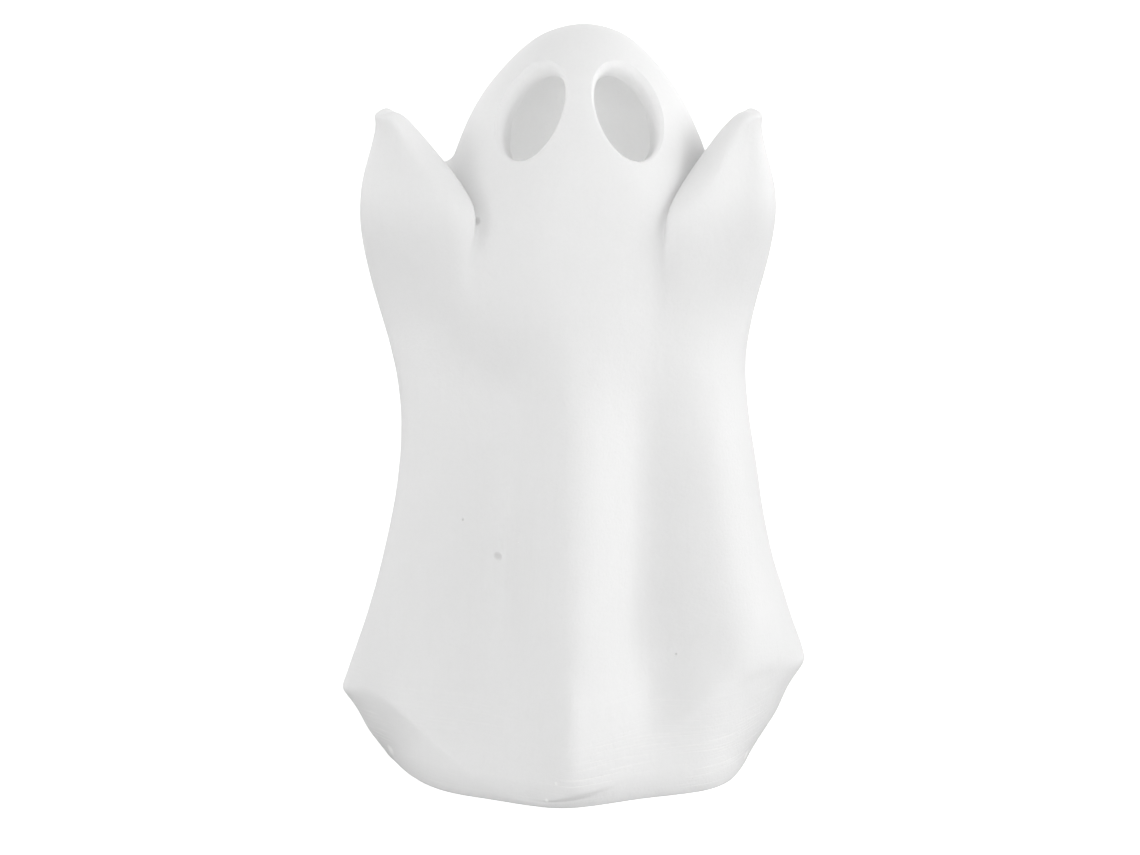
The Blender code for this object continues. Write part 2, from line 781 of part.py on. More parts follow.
def spring(x, way, y):
    start = contact_thickness / 2 + spring_wire * 2
    reach = spring_length - contact_thickness / 2 - spring_wire
    count = spring_turns * spring_points
    points = [Vector((x, y + spring_foot_radius, cell_height))]
    for step in range(count + 1):
        share = step / count
        turn = tau * step / spring_points
        radius = spring_foot_radius + (spring_top_radius - spring_foot_radius) * share
        out = way * (start + (reach - start) * share)
        points.append(Vector((x + out, y + radius * cos(turn), cell_height + radius * sin(turn))))
    apart = leastGap(points, spring_wire, spring_points // 2)
    print("contact spring, least gap to itself in mm:", round(apart * 1000, 2))
    return tube("spring", points, spring_wire, base)


def slideSwitch():
    width, depth, height = switch_size
    body = block("slide_switch", switch_size, (0, switch_y, plate_top + gap + height / 2), base)
    bevelled(body, gap, 1)
    pins = []
    for x in (-pin_spacing, 0, pin_spacing):
        top = plate_top + gap + height
        pins.append(rod("pin", pin_radius, top - gap, top + pin_height, (x, switch_y), base, sides=10))
    joined(body, *pins)
    groove = (knob_size[0] + knob_travel + gap * 2, knob_size[1] + gap * 2, knob_seat + gap * 2)
    cut(body, block("knob_groove", groove, (0, switch_y, plate_top + gap + knob_seat / 2), base))
    return finished(body, springSteel)


def switchKnob():
    # At rest the knob stands at the left end of its travel.
    height = plate_top + knob_seat - knob_tip
    knob = block("switch_knob", (*knob_size, height), (0, 0, height / 2), base)
    knob.location = (-knob_travel / 2, switch_y, knob_tip)
    bevelled(knob, gap, 1)
    return finished(knob, blackPlastic)


def circuitBoard():
    board = block("circuit_board", board_size, (0, 0, board_under + board_size[2] / 2), base)
    bevelled(board, board_corner, 2, 80)
    low, high = board_under - gap, board_top + gap
    holes = [rod("hole", board_screw_radius + gap, low, high, xy, base, sides=12) for xy in board_holes]
    for x in (-lamp_lead_spacing / 2, lamp_lead_spacing / 2):
        holes.append(rod("lead_hole", lamp_lead + gap, low, high, (x, 0), base, sides=8))
    cut(board, *holes)
    return finished(board, boardGreen)


def boardScrews():
    for number, (x, y) in enumerate(board_holes):
        seat = board_top + gap
        profile = (
            (0, seat + board_head_height),
            (board_head_radius * board_crown_share, seat + board_head_height),
            (board_head_radius, seat + board_head_height / 2),
            (board_head_radius, seat),
            (board_screw_radius, seat),
            (board_screw_radius, seat - board_screw_length),
            (0, seat - board_screw_length - board_screw_radius / 2),
        )
        finished(turned(f"board_screw_{number + 1}", profile, 12, base, (x, y, 0)), springSteel)


# Lamp: a domed lens on two leads
lamp_radius = 0.0025
lamp_flange = 0.0029
lamp_flange_height = 0.0010
lamp_height = 0.0086
lamp_lift = 0.0010
lamp_lead = 0.0003
lamp_lead_spacing = 0.00254
lamp_dome_steps = 4


def ledLamp():
    low = board_top + lamp_lift
    dome = low + lamp_height - lamp_radius
    turns = [pi / 2 * k / lamp_dome_steps for k in range(lamp_dome_steps + 1)]
    profile = [(lamp_radius * sin(t), dome + lamp_radius * cos(t)) for t in turns]
    profile += [
        (lamp_radius, low + lamp_flange_height),
        (lamp_flange, low + lamp_flange_height),
        (lamp_flange, low),
        (0, low),
    ]
    lamp = turned("led_lamp", profile, 16, base)
    leads = []
    for x in (-lamp_lead_spacing / 2, lamp_lead_spacing / 2):
        leads.append(rod("lead", lamp_lead, board_under - gap, low + gap, (x, 0), base, sides=8))
    joined(lamp, *leads)
    return finished(lamp, lampClear)


# Timer chip and resistor
chip_size = (0.0050, 0.0040, 0.0015)
chip_place_share = (0.283, -0.225)
chip_pin = (0.0004, 0.0060, 0.0003)
chip_pin_count = 4
chip_pin_pitch = 0.00127
resistor_place_share = (-0.267, 0.250)
resistor_radius = 0.0009
resistor_length = 0.0036
resistor_waist_share = 0.85
resistor_shoulder = 0.0011
resistor_lead = 0.00025
resistor_span = 0.0070


def timerChip():
    x, y = chip_place_share[0] * board_size[0], chip_place_share[1] * board_size[1]
    low = board_top + gap
    chip = block("timer_chip", chip_size, (x, y, low + chip_size[2] / 2), base)
    bevelled(chip, gap / 2, 1)
    pins = []
    for number in range(chip_pin_count):
        at = x + (number - (chip_pin_count - 1) / 2) * chip_pin_pitch
        pins.append(block("pin", chip_pin, (at, y, low + chip_pin[2]), base))
    return finished(joined(chip, *pins), blackPlastic)


def resistor():
    x, y = resistor_place_share[0] * board_size[0], resistor_place_share[1] * board_size[1]
    high = board_top + gap + resistor_radius
    half, waist = resistor_length / 2, resistor_radius * resistor_waist_share
    profile = (
        (0, half),
        (waist, half),
        (resistor_radius, half - waist / 2),
        (resistor_radius, half - waist),
        (waist, half - resistor_shoulder),
        (waist, -half + resistor_shoulder),
        (resistor_radius, -half + waist),
        (resistor_radius, -half + waist / 2),
        (waist, -half),
        (0, -half),
    )
    body = turned("resistor", profile, 12, base)
    body.data.transform(Matrix.Rotation(pi / 2, 4, "Y"))
    body.location = (x, y, high)
    end, foot = resistor_span / 2, board_top + gap
    lead = ((x - end, y, foot), (x - end, y, high), (x + end, y, high), (x + end, y, foot))
    return finished(joined(body, tube("lead", lead, resistor_lead, base)), resistorTan)


# Leads inside the base, along points chosen by hand round the tray, with ends at these shares of the board
wire_radius = 0.00055
wire_steps = 3
switch_wire_shares = (0.100, 0.400)
return_wire_shares = (-0.200, -0.375)
switch_pad_x, switch_pad_y = switch_wire_shares[0] * board_size[0], switch_wire_shares[1] * board_size[1]
return_pad_x, return_pad_y = return_wire_shares[0] * board_size[0], return_wire_shares[1] * board_size[1]
wire_battery_route = (
    (0.0240, 0.0109, 0.0182), (0.0210, 0.0150, 0.0190), (0.0150, 0.0200, 0.0180),
    (0.0070, 0.0248, 0.0150), (0.0032, switch_y, 0.0128), (0.0030, switch_y, 0.0116),
)
wire_switch_route = (
    (0, switch_y, 0.0116), (0, switch_y, 0.0135), (0.0005, 0.0225, 0.0195),
    (0.0020, 0.0140, 0.0225), (switch_pad_x, 0.0085, 0.0210), (switch_pad_x, switch_pad_y, 0.0193),
)
wire_return_route = (
    (-0.0240, -0.0109, 0.0182), (-0.0210, -0.0120, 0.0200), (-0.0150, -0.0110, 0.0225),
    (-0.0085, -0.0085, 0.0220), (return_pad_x, return_pad_y, 0.0205), (return_pad_x, return_pad_y, 0.0193),
)


def wires():
    routes = (
        ("wire_battery", wire_battery_route, redSleeve),
        ("wire_switch", wire_switch_route, redSleeve),
        ("wire_return", wire_return_route, blackSleeve),
    )
    for name, route, sleeve in routes:
        finished(tube(name, smoothCurve(route, wire_steps), wire_radius, base), sleeve)


ghostShell()
basePlate()
plateScrews()
batteryDoor()
for number in range(len(cell_rows)):
    cell(number)
first, second, third = cell_rows
contactPlate("contact_minus", -1, (first,), sprung=first, tab=first)
contactPlate("contact_plus", 1, (third,), tab=third)
contactPlate("link_right", 1, (first, second), sprung=second)
contactPlate("link_left", -1, (second, third), sprung=third)
slideSwitch()
switchKnob()
circuitBoard()
boardScrews()
ledLamp()
timerChip()
resistor()
wires()
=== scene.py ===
# Looks of the resin ghost statue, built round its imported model.

import bpy
import bmesh
from math import cos, sin, pi, radians, tau
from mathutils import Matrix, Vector, noise
from mathutils.bvhtree import BVHTree


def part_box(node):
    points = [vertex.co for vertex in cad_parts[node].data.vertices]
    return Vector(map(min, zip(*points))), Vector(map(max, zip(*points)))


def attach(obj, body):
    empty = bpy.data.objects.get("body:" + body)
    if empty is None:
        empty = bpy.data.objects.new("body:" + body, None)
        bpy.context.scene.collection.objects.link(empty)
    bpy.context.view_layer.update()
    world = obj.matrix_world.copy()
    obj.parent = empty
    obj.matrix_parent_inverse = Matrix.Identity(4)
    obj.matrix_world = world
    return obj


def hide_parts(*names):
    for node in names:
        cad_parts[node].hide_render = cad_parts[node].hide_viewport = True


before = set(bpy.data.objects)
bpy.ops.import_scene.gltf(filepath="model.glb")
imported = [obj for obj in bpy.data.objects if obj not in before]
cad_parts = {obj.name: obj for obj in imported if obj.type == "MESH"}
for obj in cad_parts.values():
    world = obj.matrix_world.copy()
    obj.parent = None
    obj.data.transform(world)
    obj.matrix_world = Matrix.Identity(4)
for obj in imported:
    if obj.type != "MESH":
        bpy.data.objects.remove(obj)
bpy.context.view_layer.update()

scene = bpy.context.scene


# Small tools that every piece uses

def deselectAll():
    if bpy.context.mode != "OBJECT":
        bpy.ops.object.mode_set(mode="OBJECT")
    bpy.ops.object.select_all(action="DESELECT")


def activate(piece):
    deselectAll()
    piece.select_set(True)
    bpy.context.view_layer.objects.active = piece
    return piece


def editing(piece):
    activate(piece)
    bpy.ops.object.mode_set(mode="EDIT")
    bpy.ops.mesh.select_mode(type="VERT")
    return bmesh.from_edit_mesh(piece.data)


def pick(piece, elements, test):
    # elements is verts, edges or faces; whatever passes the test is selected, and nothing else
    bpy.ops.mesh.select_all(action="DESELECT")
    bm = bmesh.from_edit_mesh(piece.data)
    chosen = [element for element in getattr(bm, elements) if test(element)]
    for element in chosen:
        element.select = True
    bm.select_flush(True)
    bmesh.update_edit_mesh(piece.data)
    return chosen


def done(piece):
    bpy.ops.object.mode_set(mode="OBJECT")
    deselectAll()
    return piece


def applyModifiers(piece):
    activate(piece)
    for modifier in list(piece.modifiers):
        bpy.ops.object.modifier_apply(modifier=modifier.name)
    return piece


def settle(piece, angle=None):
    # place, turn and size go into the mesh; the shading is smooth up to the angle
    activate(piece)
    bpy.ops.object.transform_apply(location=True, rotation=True, scale=True)
    if angle is not None:
        bpy.ops.object.shade_smooth_by_angle(angle=radians(angle))
    return piece


def carve(piece, cutter):
    boolean = piece.modifiers.new("carve", "BOOLEAN")
    boolean.operation = "DIFFERENCE"
    boolean.solver = "EXACT"
    boolean.object = cutter
    applyModifiers(piece)
    bpy.data.objects.remove(cutter)
    return piece


# Materials: shared effects first, as node groups

def newGroup(name, sockets):
    group = bpy.data.node_groups.new(name, "ShaderNodeTree")
    for label, direction, kind, value in sockets:
        socket = group.interface.new_socket(name=label, in_out=direction, socket_type=kind)
        if value is not None:
            socket.default_value = value
    return group, group.nodes.new("NodeGroupInput"), group.nodes.new("NodeGroupOutput")


def wire(tree, *links):
    for start, end in links:
        tree.links.new(start, end)


def mathNode(tree, operation, first, second=None, third=None):
    node = tree.nodes.new("ShaderNodeMath")
    node.operation = operation
    for number, value in enumerate((first, second, third)):
        if value is None:
            continue
        if isinstance(value, (int, float)):
            node.inputs[number].default_value = value
        else:
            tree.links.new(value, node.inputs[number])
    return node.outputs[0]


def noiseNode(tree, vector, scale, detail=2.0, roughness=0.5, distortion=0.0):
    node = tree.nodes.new("ShaderNodeTexNoise")
    node.inputs["Scale"].default_value = scale
    node.inputs["Detail"].default_value = detail
    node.inputs["Roughness"].default_value = roughness
    node.inputs["Distortion"].default_value = distortion
    tree.links.new(vector, node.inputs["Vector"])
    return node.outputs["Fac"]


def rangeNode(tree, value, low, high, toLow=0.0, toHigh=1.0):
    node = tree.nodes.new("ShaderNodeMapRange")
    node.inputs["From Min"].default_value = low
    node.inputs["From Max"].default_value = high
    node.inputs["To Min"].default_value = toLow
    node.inputs["To Max"].default_value = toHigh
    tree.links.new(value, node.inputs["Value"])
    return node.outputs["Result"]


def mixColour(tree, fac, first, second):
    node = tree.nodes.new("ShaderNodeMix")
    node.data_type = "RGBA"
    for socket, value in ((node.inputs[0], fac), (node.inputs[6], first), (node.inputs[7], second)):
        if isinstance(value, (int, float)):
            socket.default_value = value
        elif isinstance(value, tuple):
            socket.default_value = (*value, 1.0)
        else:
            tree.links.new(value, socket)
    return node.outputs[2]


def skinGrainGroup():
    # Fine unevenness of a hand-finished casting: soft waves, a fine grain and a slow mottle for its tone
    group, inputs, outputs = newGroup("skinGrain", [
        ("Vector", "INPUT", "NodeSocketVector", None),
        ("Wave", "INPUT", "NodeSocketFloat", 1.0),
        ("Grain", "INPUT", "NodeSocketFloat", 1.0),
        ("Height", "OUTPUT", "NodeSocketFloat", None),
        ("Mottle", "OUTPUT", "NodeSocketFloat", None),
    ])
    vector = inputs.outputs["Vector"]
    waveScale, grainScale, mottleScale = 160.0, 1500.0, 45.0
    wave = noiseNode(group, vector, waveScale, 3.0, 0.55)
    grain = noiseNode(group, vector, grainScale, 3.0, 0.6)
    mottle = noiseNode(group, vector, mottleScale, 4.0, 0.6)
    waves = mathNode(group, "MULTIPLY", wave, inputs.outputs["Wave"])
    grains = mathNode(group, "MULTIPLY", grain, inputs.outputs["Grain"])
    height = mathNode(group, "ADD", waves, grains)
    wire(group, (height, outputs.inputs["Height"]), (mottle, outputs.inputs["Mottle"]))
    return group


def newMaterial(name, colour, roughness, metallic=0.0, specular=0.5):
    material = bpy.data.materials.new(name)
    material.use_nodes = True
    tree = material.node_tree
    shader = tree.nodes["Principled BSDF"]
    shader.inputs["Base Color"].default_value = (*colour, 1.0)
    shader.inputs["Roughness"].default_value = roughness
    shader.inputs["Metallic"].default_value = metallic
    shader.inputs["Specular IOR Level"].default_value = specular
    coords = tree.nodes.new("ShaderNodeTexCoord").outputs["Object"]
    return material, tree, shader, coords


def placeGroup(tree, group, **values):
    node = tree.nodes.new("ShaderNodeGroup")
    node.node_tree = group
    for label, value in values.items():
        if isinstance(value, (int, float)):
            node.inputs[label].default_value = value
        else:
            tree.links.new(value, node.inputs[label])
    return node


def bumpInto(tree, shader, height, strength, distance):
    bump = tree.nodes.new("ShaderNodeBump")
    bump.inputs["Strength"].default_value = strength
    bump.inputs["Distance"].default_value = distance
    tree.links.new(height, bump.inputs["Height"])
    tree.links.new(bump.outputs["Normal"], shader.inputs["Normal"])


def spotGroup():
    # a round mark at one place of the surface: 1 in its middle, 0 past its rim
    group, inputs, outputs = newGroup("spotMark", [
        ("Vector", "INPUT", "NodeSocketVector", None),
        ("Place", "INPUT", "NodeSocketVector", None),
        ("Size", "INPUT", "NodeSocketFloat", 0.0005),
        ("Mask", "OUTPUT", "NodeSocketFloat", None),
    ])
    away = group.nodes.new("ShaderNodeVectorMath")
    away.operation = "DISTANCE"
    wire(group, (inputs.outputs["Vector"], away.inputs[0]), (inputs.outputs["Place"], away.inputs[1]))
    share = mathNode(group, "DIVIDE", away.outputs["Value"], inputs.outputs["Size"])
    fullFrom = 0.45
    wire(group, (rangeNode(group, share, 1.0, fullFrom), outputs.inputs["Mask"]))
    return group


def scratchGroup():
    # a straight mark between two places: the distance from the stretch between them, against the width
    group, inputs, outputs = newGroup("scratchMark", [
        ("Vector", "INPUT", "NodeSocketVector", None),
        ("Start", "INPUT", "NodeSocketVector", None),
        ("End", "INPUT", "NodeSocketVector", None),
        ("Width", "INPUT", "NodeSocketFloat", 0.0002),
        ("Mask", "OUTPUT", "NodeSocketFloat", None),
    ])

    def vectorMath(operation, first, second):
        node = group.nodes.new("ShaderNodeVectorMath")
        node.operation = operation
        wire(group, (first, node.inputs[0]), (second, node.inputs[1]))
        return node

    vector, start, end = (inputs.outputs[label] for label in ("Vector", "Start", "End"))
    run = vectorMath("SUBTRACT", end, start).outputs["Vector"]
    fromStart = vectorMath("SUBTRACT", vector, start).outputs["Vector"]
    along = vectorMath("DOT_PRODUCT", fromStart, run).outputs["Value"]
    whole = vectorMath("DOT_PRODUCT", run, run).outputs["Value"]
    share = mathNode(group, "MAXIMUM", mathNode(group, "DIVIDE", along, whole), 0.0)
    share = mathNode(group, "MINIMUM", share, 1.0)
    reach = group.nodes.new("ShaderNodeVectorMath")
    reach.operation = "SCALE"
    wire(group, (run, reach.inputs[0]), (share, reach.inputs["Scale"]))
    away = vectorMath("DISTANCE", fromStart, reach.outputs["Vector"]).outputs["Value"]
    aside = mathNode(group, "DIVIDE", away, inputs.outputs["Width"])
    fullFrom = 0.3
    wire(group, (rangeNode(group, aside, 1.0, fullFrom), outputs.inputs["Mask"]))
    return group


skinGrain = skinGrainGroup()
spotMark = spotGroup()
scratchMark = scratchGroup()

resinLook = {
    "colour": (0.791, 0.791, 0.790),
    "shade": (0.766, 0.766, 0.765),
    # darker tone of the underside and foot band: partly duller sanded resin, partly painted shade
    "sandedShadeColour": (0.690, 0.690, 0.689),
    # painted shade inside the pinholes
    "pitShadeColour": (0.38, 0.38, 0.37),
    "speckColour": (0.93, 0.93, 0.92),
    "roughness": 0.48,
    "roughnessRange": (0.42, 0.56),
    "sandedRoughness": 0.08,
    "specular": 0.35,
    "subsurface": 0.35,
    "scatter": 0.004,
    "waves": 0.8,
    "grain": 0.35,
    "speckleScale": 1400.0,
    # brush strokes of the wash, drawn out down the folds
    "strokeScale": (700.0, 700.0, 60.0),
    # sanding marks, drawn out round the hem and tilted a little
    "sandingScale": (60.0, 60.0, 1900.0),
    "sandingTilt": 0.12,
    "sandingPatches": 38.0,
    "sandedFrom": 0.010,
    "sandedBelow": 0.030,
    # height of the foot band that takes the painted shade and the duller sanded tone
    "rubbedShadedFoot": 0.006,
    # how far each mark tints the colour, and how deep or proud it is in the bump's own measure
    "sandedTint": 0.3,
    "pitTint": 0.30,
    "speckTint": 0.6,
    "sandedDepth": 0.35,
    "pitDepth": 1.6,
    "speckRise": 0.5,
    "bumpStrength": 0.35,
    "bumpDistance": 0.0006,
    # pinholes and burst bubbles of the casting: place and size
    "pits": (
        ((-0.0227, -0.0263, 0.1376), 0.0010), ((-0.0186, -0.0234, 0.0554), 0.0013),
        ((-0.0268, -0.0210, 0.0639), 0.0004), ((0.0243, -0.0270, 0.0321), 0.0004),
        ((0.0500, -0.0065, 0.0138), 0.0005), ((-0.0230, -0.0294, 0.0197), 0.0005),
        ((0.0279, -0.0350, 0.0035), 0.0006), ((0.0031, 0.0310, 0.0960), 0.0008),
        ((-0.0120, 0.0330, 0.0410), 0.0006), ((0.0200, 0.0250, 0.1300), 0.0006),
    ),
    # dust caught in the surface, and small chips at the rim
    "specks": (
        ((0.0181, -0.0335, 0.0108), 0.0006), ((0.0299, -0.0340, 0.0041), 0.0006),
        ((-0.0044, -0.0463, 0.0064), 0.0005), ((-0.0066, -0.0453, 0.0019), 0.0006),
        ((0.0415, -0.0189, 0.0032), 0.0017), ((-0.0453, -0.0153, 0.0031), 0.0017),
        ((0.0290, -0.0309, 0.0124), 0.0005), ((-0.0152, 0.0405, 0.0040), 0.0008),
    ),
    "scratches": (
        ((-0.0162, -0.0255, 0.0606), (-0.0133, -0.0287, 0.0605), 0.00022),
        ((0.0193, -0.0312, 0.0162), (0.0263, -0.0308, 0.0143), 0.00026),
        ((0.0290, -0.0309, 0.0124), (0.0290, -0.0322, 0.0096), 0.00022),
        ((-0.0177, -0.0243, 0.0870), (-0.0129, -0.0291, 0.0956), 0.00018),
    ),
    "scratchWobble": 0.0006,
    "wobbleScale": 500.0,
}


def resinMarks(tree, coords):
    # one mask each for the dark pits, the pale specks and the scratches
    wobble = tree.nodes.new("ShaderNodeVectorMath")
    wobble.operation = "MULTIPLY_ADD"
    uneven = tree.nodes.new("ShaderNodeTexNoise")
    uneven.inputs["Scale"].default_value = resinLook["wobbleScale"]
    wobble.inputs[1].default_value = (resinLook["scratchWobble"],) * 3
    wire(tree, (coords, uneven.inputs["Vector"]), (uneven.outputs["Color"], wobble.inputs[0]))
    wire(tree, (coords, wobble.inputs[2]))
    masks = []
    for group, kind in ((spotMark, "pits"), (spotMark, "specks"), (scratchMark, "scratches")):
        # the wobble moves a scratch by half its reach on the average, so its ends are moved as far
        scratched = group is scratchMark
        vector = wobble.outputs["Vector"] if scratched else coords
        shift = resinLook["scratchWobble"] / 2 if scratched else 0.0
        mask = 0.0
        for mark in resinLook[kind]:
            node = placeGroup(tree, group, Vector=vector)
            for number, value in enumerate(mark, 1):
                if isinstance(value, tuple):
                    value = [part + shift for part in value]
                node.inputs[number].default_value = value
            mask = mathNode(tree, "MAXIMUM", node.outputs["Mask"], mask)
        masks.append(mask)
    return masks


def resinMaterial():
    look = resinLook
    material, tree, shader, coords = newMaterial(
        "castResin", look["colour"], look["roughness"], specular=look["specular"]
    )
    grain = placeGroup(tree, skinGrain, Vector=coords, Wave=look["waves"], Grain=look["grain"])
    mottle = grain.outputs["Mottle"]
    tone = rangeNode(tree, mottle, 0.2, 1.2)
    colour = mixColour(tree, tone, look["colour"], look["shade"])
    fine = rangeNode(tree, noiseNode(tree, coords, look["speckleScale"], 3.0, 0.7), 0.45, 0.8, 0.0, 0.8)
    colour = mixColour(tree, fine, colour, look["shade"])
    # brush strokes of the wash run down the folds
    stretched = tree.nodes.new("ShaderNodeMapping")
    stretched.inputs["Scale"].default_value = look["strokeScale"]
    wire(tree, (coords, stretched.inputs["Vector"]))
    drawn = noiseNode(tree, stretched.outputs["Vector"], 1.0, 3.0, 0.6)
    colour = mixColour(tree, rangeNode(tree, drawn, 0.5, 0.8, 0.0, 0.6), colour, look["shade"])
    # sanding marks run level round the hem and fade out above it
    split = tree.nodes.new("ShaderNodeSeparateXYZ")
    mapping = tree.nodes.new("ShaderNodeMapping")
    mapping.inputs["Scale"].default_value = look["sandingScale"]
    mapping.inputs["Rotation"].default_value = (0.0, look["sandingTilt"], 0.0)
    wire(tree, (coords, split.inputs[0]), (coords, mapping.inputs["Vector"]))
    marks = noiseNode(tree, mapping.outputs["Vector"], 1.0, 2.0, 0.6, 0.4)
    lines = rangeNode(tree, marks, 0.52, 0.72)
    low = rangeNode(tree, split.outputs["Z"], look["sandedFrom"], look["sandedBelow"], 1.0, 0.0)
    patchy = rangeNode(tree, noiseNode(tree, coords, look["sandingPatches"], 1.0), 0.44, 0.62, 0.15, 0.9)
    sanded = mathNode(tree, "MULTIPLY", mathNode(tree, "MULTIPLY", lines, low), patchy)
    # painted shade: the underside where it faces down and the band of the foot are darkened, partly as the
    # duller sanded resin and partly as the shade under the hem and at the table
    slope = tree.nodes.new("ShaderNodeSeparateXYZ")
    wire(tree, (tree.nodes.new("ShaderNodeNewGeometry").outputs["Normal"], slope.inputs[0]))
    # painted shade on faces that turn downward low on the hem
    under = mathNode(tree, "MULTIPLY", rangeNode(tree, slope.outputs["Z"], 0.0, -0.35), low)
    foot = rangeNode(tree, split.outputs["Z"], look["rubbedShadedFoot"], 0.0, 0.0, 0.8)
    colour = mixColour(tree, mathNode(tree, "MAXIMUM", under, foot), colour, look["sandedShadeColour"])
    sandedTint = mathNode(tree, "MULTIPLY", sanded, look["sandedTint"])
    colour = mixColour(tree, sandedTint, colour, look["speckColour"])
    pits, specks, scratches = resinMarks(tree, coords)
    pale = mathNode(tree, "MAXIMUM", specks, scratches)
    # painted shade: the pits are darkened as the shade that falls inside them
    colour = mixColour(tree, mathNode(tree, "MULTIPLY", pits, look["pitTint"]), colour, look["pitShadeColour"])
    colour = mixColour(tree, mathNode(tree, "MULTIPLY", pale, look["speckTint"]), colour, look["speckColour"])
    wire(tree, (colour, shader.inputs["Base Color"]))
    rough = rangeNode(tree, mottle, 0.2, 0.8, *look["roughnessRange"])
    rough = mathNode(tree, "MULTIPLY_ADD", low, look["sandedRoughness"], rough)
    wire(tree, (rough, shader.inputs["Roughness"]))
    height = mathNode(tree, "MULTIPLY_ADD", sanded, -look["sandedDepth"], grain.outputs["Height"])
    height = mathNode(tree, "MULTIPLY_ADD", pits, -look["pitDepth"], height)
    height = mathNode(tree, "MULTIPLY_ADD", pale, look["speckRise"], height)
    bumpInto(tree, shader, height, look["bumpStrength"], look["bumpDistance"])
    shader.inputs["Subsurface Weight"].default_value = look["subsurface"]
    shader.inputs["Subsurface Radius"].default_value = (1.0, 1.0, 1.0)
    shader.inputs["Subsurface Scale"].default_value = look["scatter"]
    return material


# The ghost: rings of sixteen points drawn up from the foot, smoothed, hollowed and opened at the eyes

ghost = {
    "height": 0.1800,
    "footRadius": 0.0456,
    "footOffset": -0.0019,
    "footSpare": 0.0010,
    "bandRiseShare": 0.42,
    "wall": 0.0058,
    "armsOffset": -0.0015,
    "armReachShare": 0.240,
    "saddleRises": {3: 0.0088, 4: 0.0066, 5: 0.0062, 11: 0.0062, 12: 0.0062, 13: 0.0074},
    # the crevices that are rubbed soft, on the right and on the left: box, rounds of rubbing, least bend
    "creviceBoxes": (
        ((0.014, -0.045, 0.118), (0.040, 0.008, 0.164)),
        ((-0.040, -0.045, 0.118), (-0.014, 0.002, 0.162)),
    ),
    "creviceRounds": (4, 3),
    "creviceBend": 0.000004,
    "rubbing": 0.5,
    "rubbings": 30,
    # how sharp the edges stay: round the foot, the band and the hem, and up the ridges of three spokes
    "footCrease": 1.0,
    "bandCrease": 0.3,
    "hemCrease": (
        0.38, 0.50, 0.60, 0.45, 0.42, 0.55, 0.60, 0.60,
        0.60, 0.60, 0.60, 0.60, 0.50, 0.55, 0.60, 0.42,
    ),
    "ridgeCreases": {0: (0.45, 0.2, 0.0), 4: (0.3, 0.2), 12: (0.3, 0.2)},
    "spokes": 16,
    "levels": 4,
    "insideLevels": 3,
    "skinRounds": 4,
    # name, breadth and depth of the unevenness
    "waves": (("softWaves", 0.026, 0.0005), ("smallWaves", 0.009, 0.00012)),
    "shadeAngle": 38,
    "shoulderRing": 4,
    "apexOffsetShare": 0.048,
    "hollowStart": 0.0110,
    "hollowShoulderShare": 0.760,
    "mouthRadius": 0.0325,
    "rebateRadius": 0.0398,
    "ledgeHeight": 0.0048,
    "cutterSpare": 0.002,
    "mouthShort": 0.0003,
    "punchSides": 128,
}

# Where each spoke stands round the body, in degrees from the front, at the hem and at the shoulders
hemAzimuths = (-1, 20, 38, 58, 97, 120, 143, 166, 188, 211, 233, 256, 278, 291, 315, 338)
shoulderAzimuths = (-1, 19, 37, 57, 80, 106, 132, 158, 183, 207, 231, 254, 278, 298, 318, 339)

# Shares of the foot radius, one per spoke: the foot's outline is a little wavy
footShares = (
    1.002, 0.948, 1.010, 1.050, 1.006, 1.004, 0.990, 0.978,
    1.000, 0.978, 0.995, 1.000, 0.988, 0.982, 1.010, 0.968,
)
bandSpreadShares = (
    0.30, 0.20, 0.22, 0.42, 0.56, 0.48, 0.30, 0.30,
    0.30, 0.30, 0.30, 0.50, 0.50, 0.46, 0.30, 0.30,
)
hemHeightShares = (
    0.025, 0.052, 0.097, 0.134, 0.109, 0.084, 0.056, 0.034,
    0.025, 0.034, 0.056, 0.076, 0.093, 0.101, 0.062, 0.022,
)
hemShares = (
    1.037, 0.920, 0.920, 1.070, 1.266, 1.078, 0.925, 0.973,
    1.046, 0.973, 0.925, 1.083, 1.275, 1.105, 1.005, 0.965,
)

# Per ring: height, offset, and a radius share for each spoke, or one for them all
ringShares = (
    (0.180, 0.000, (0.975, 0.789, 0.725, 1.090, 1.184, 0.981, 0.815, 0.879,
                    0.975, 0.879, 0.815, 0.969, 1.158, 1.060, 0.722, 0.787)),
    (0.289, 0.000, (0.930, 0.759, 0.700, 1.000, 1.056, 0.904, 0.780, 0.842,
                    0.935, 0.842, 0.780, 0.892, 1.028, 0.985, 0.665, 0.732)),
    (0.422, 0.000, (0.882, 0.736, 0.690, 0.920, 0.966, 0.850, 0.755, 0.809,
                    0.890, 0.809, 0.755, 0.836, 0.934, 0.915, 0.670, 0.709)),
    (0.544, 0.000, (0.838, 0.733, 0.715, 0.850, 0.912, 0.820, 0.745, 0.787,
                    0.850, 0.787, 0.745, 0.842, 0.960, 0.885, 0.700, 0.711)),
    (0.650, 0.000, (0.788, 0.768, 0.755, 0.855, 0.982, 0.852, 0.745, 0.767,
                    0.800, 0.767, 0.745, 0.891, 1.070, 0.898, 0.830, 0.780)),
    (0.770, 0.010, (0.715, 0.725, 0.745, 0.715, 0.715, 0.715, 0.715, 0.715,
                    0.715, 0.715, 0.715, 0.715, 0.715, 0.725, 0.760, 0.735)),
    (0.836, 0.026, (0.652,) * 16),
    (0.889, 0.027, (0.557,) * 16),
    (0.936, 0.033, (0.430,) * 16),
    (0.972, 0.040, (0.290,) * 16),
    (0.991, 0.045, (0.165,) * 16),
)

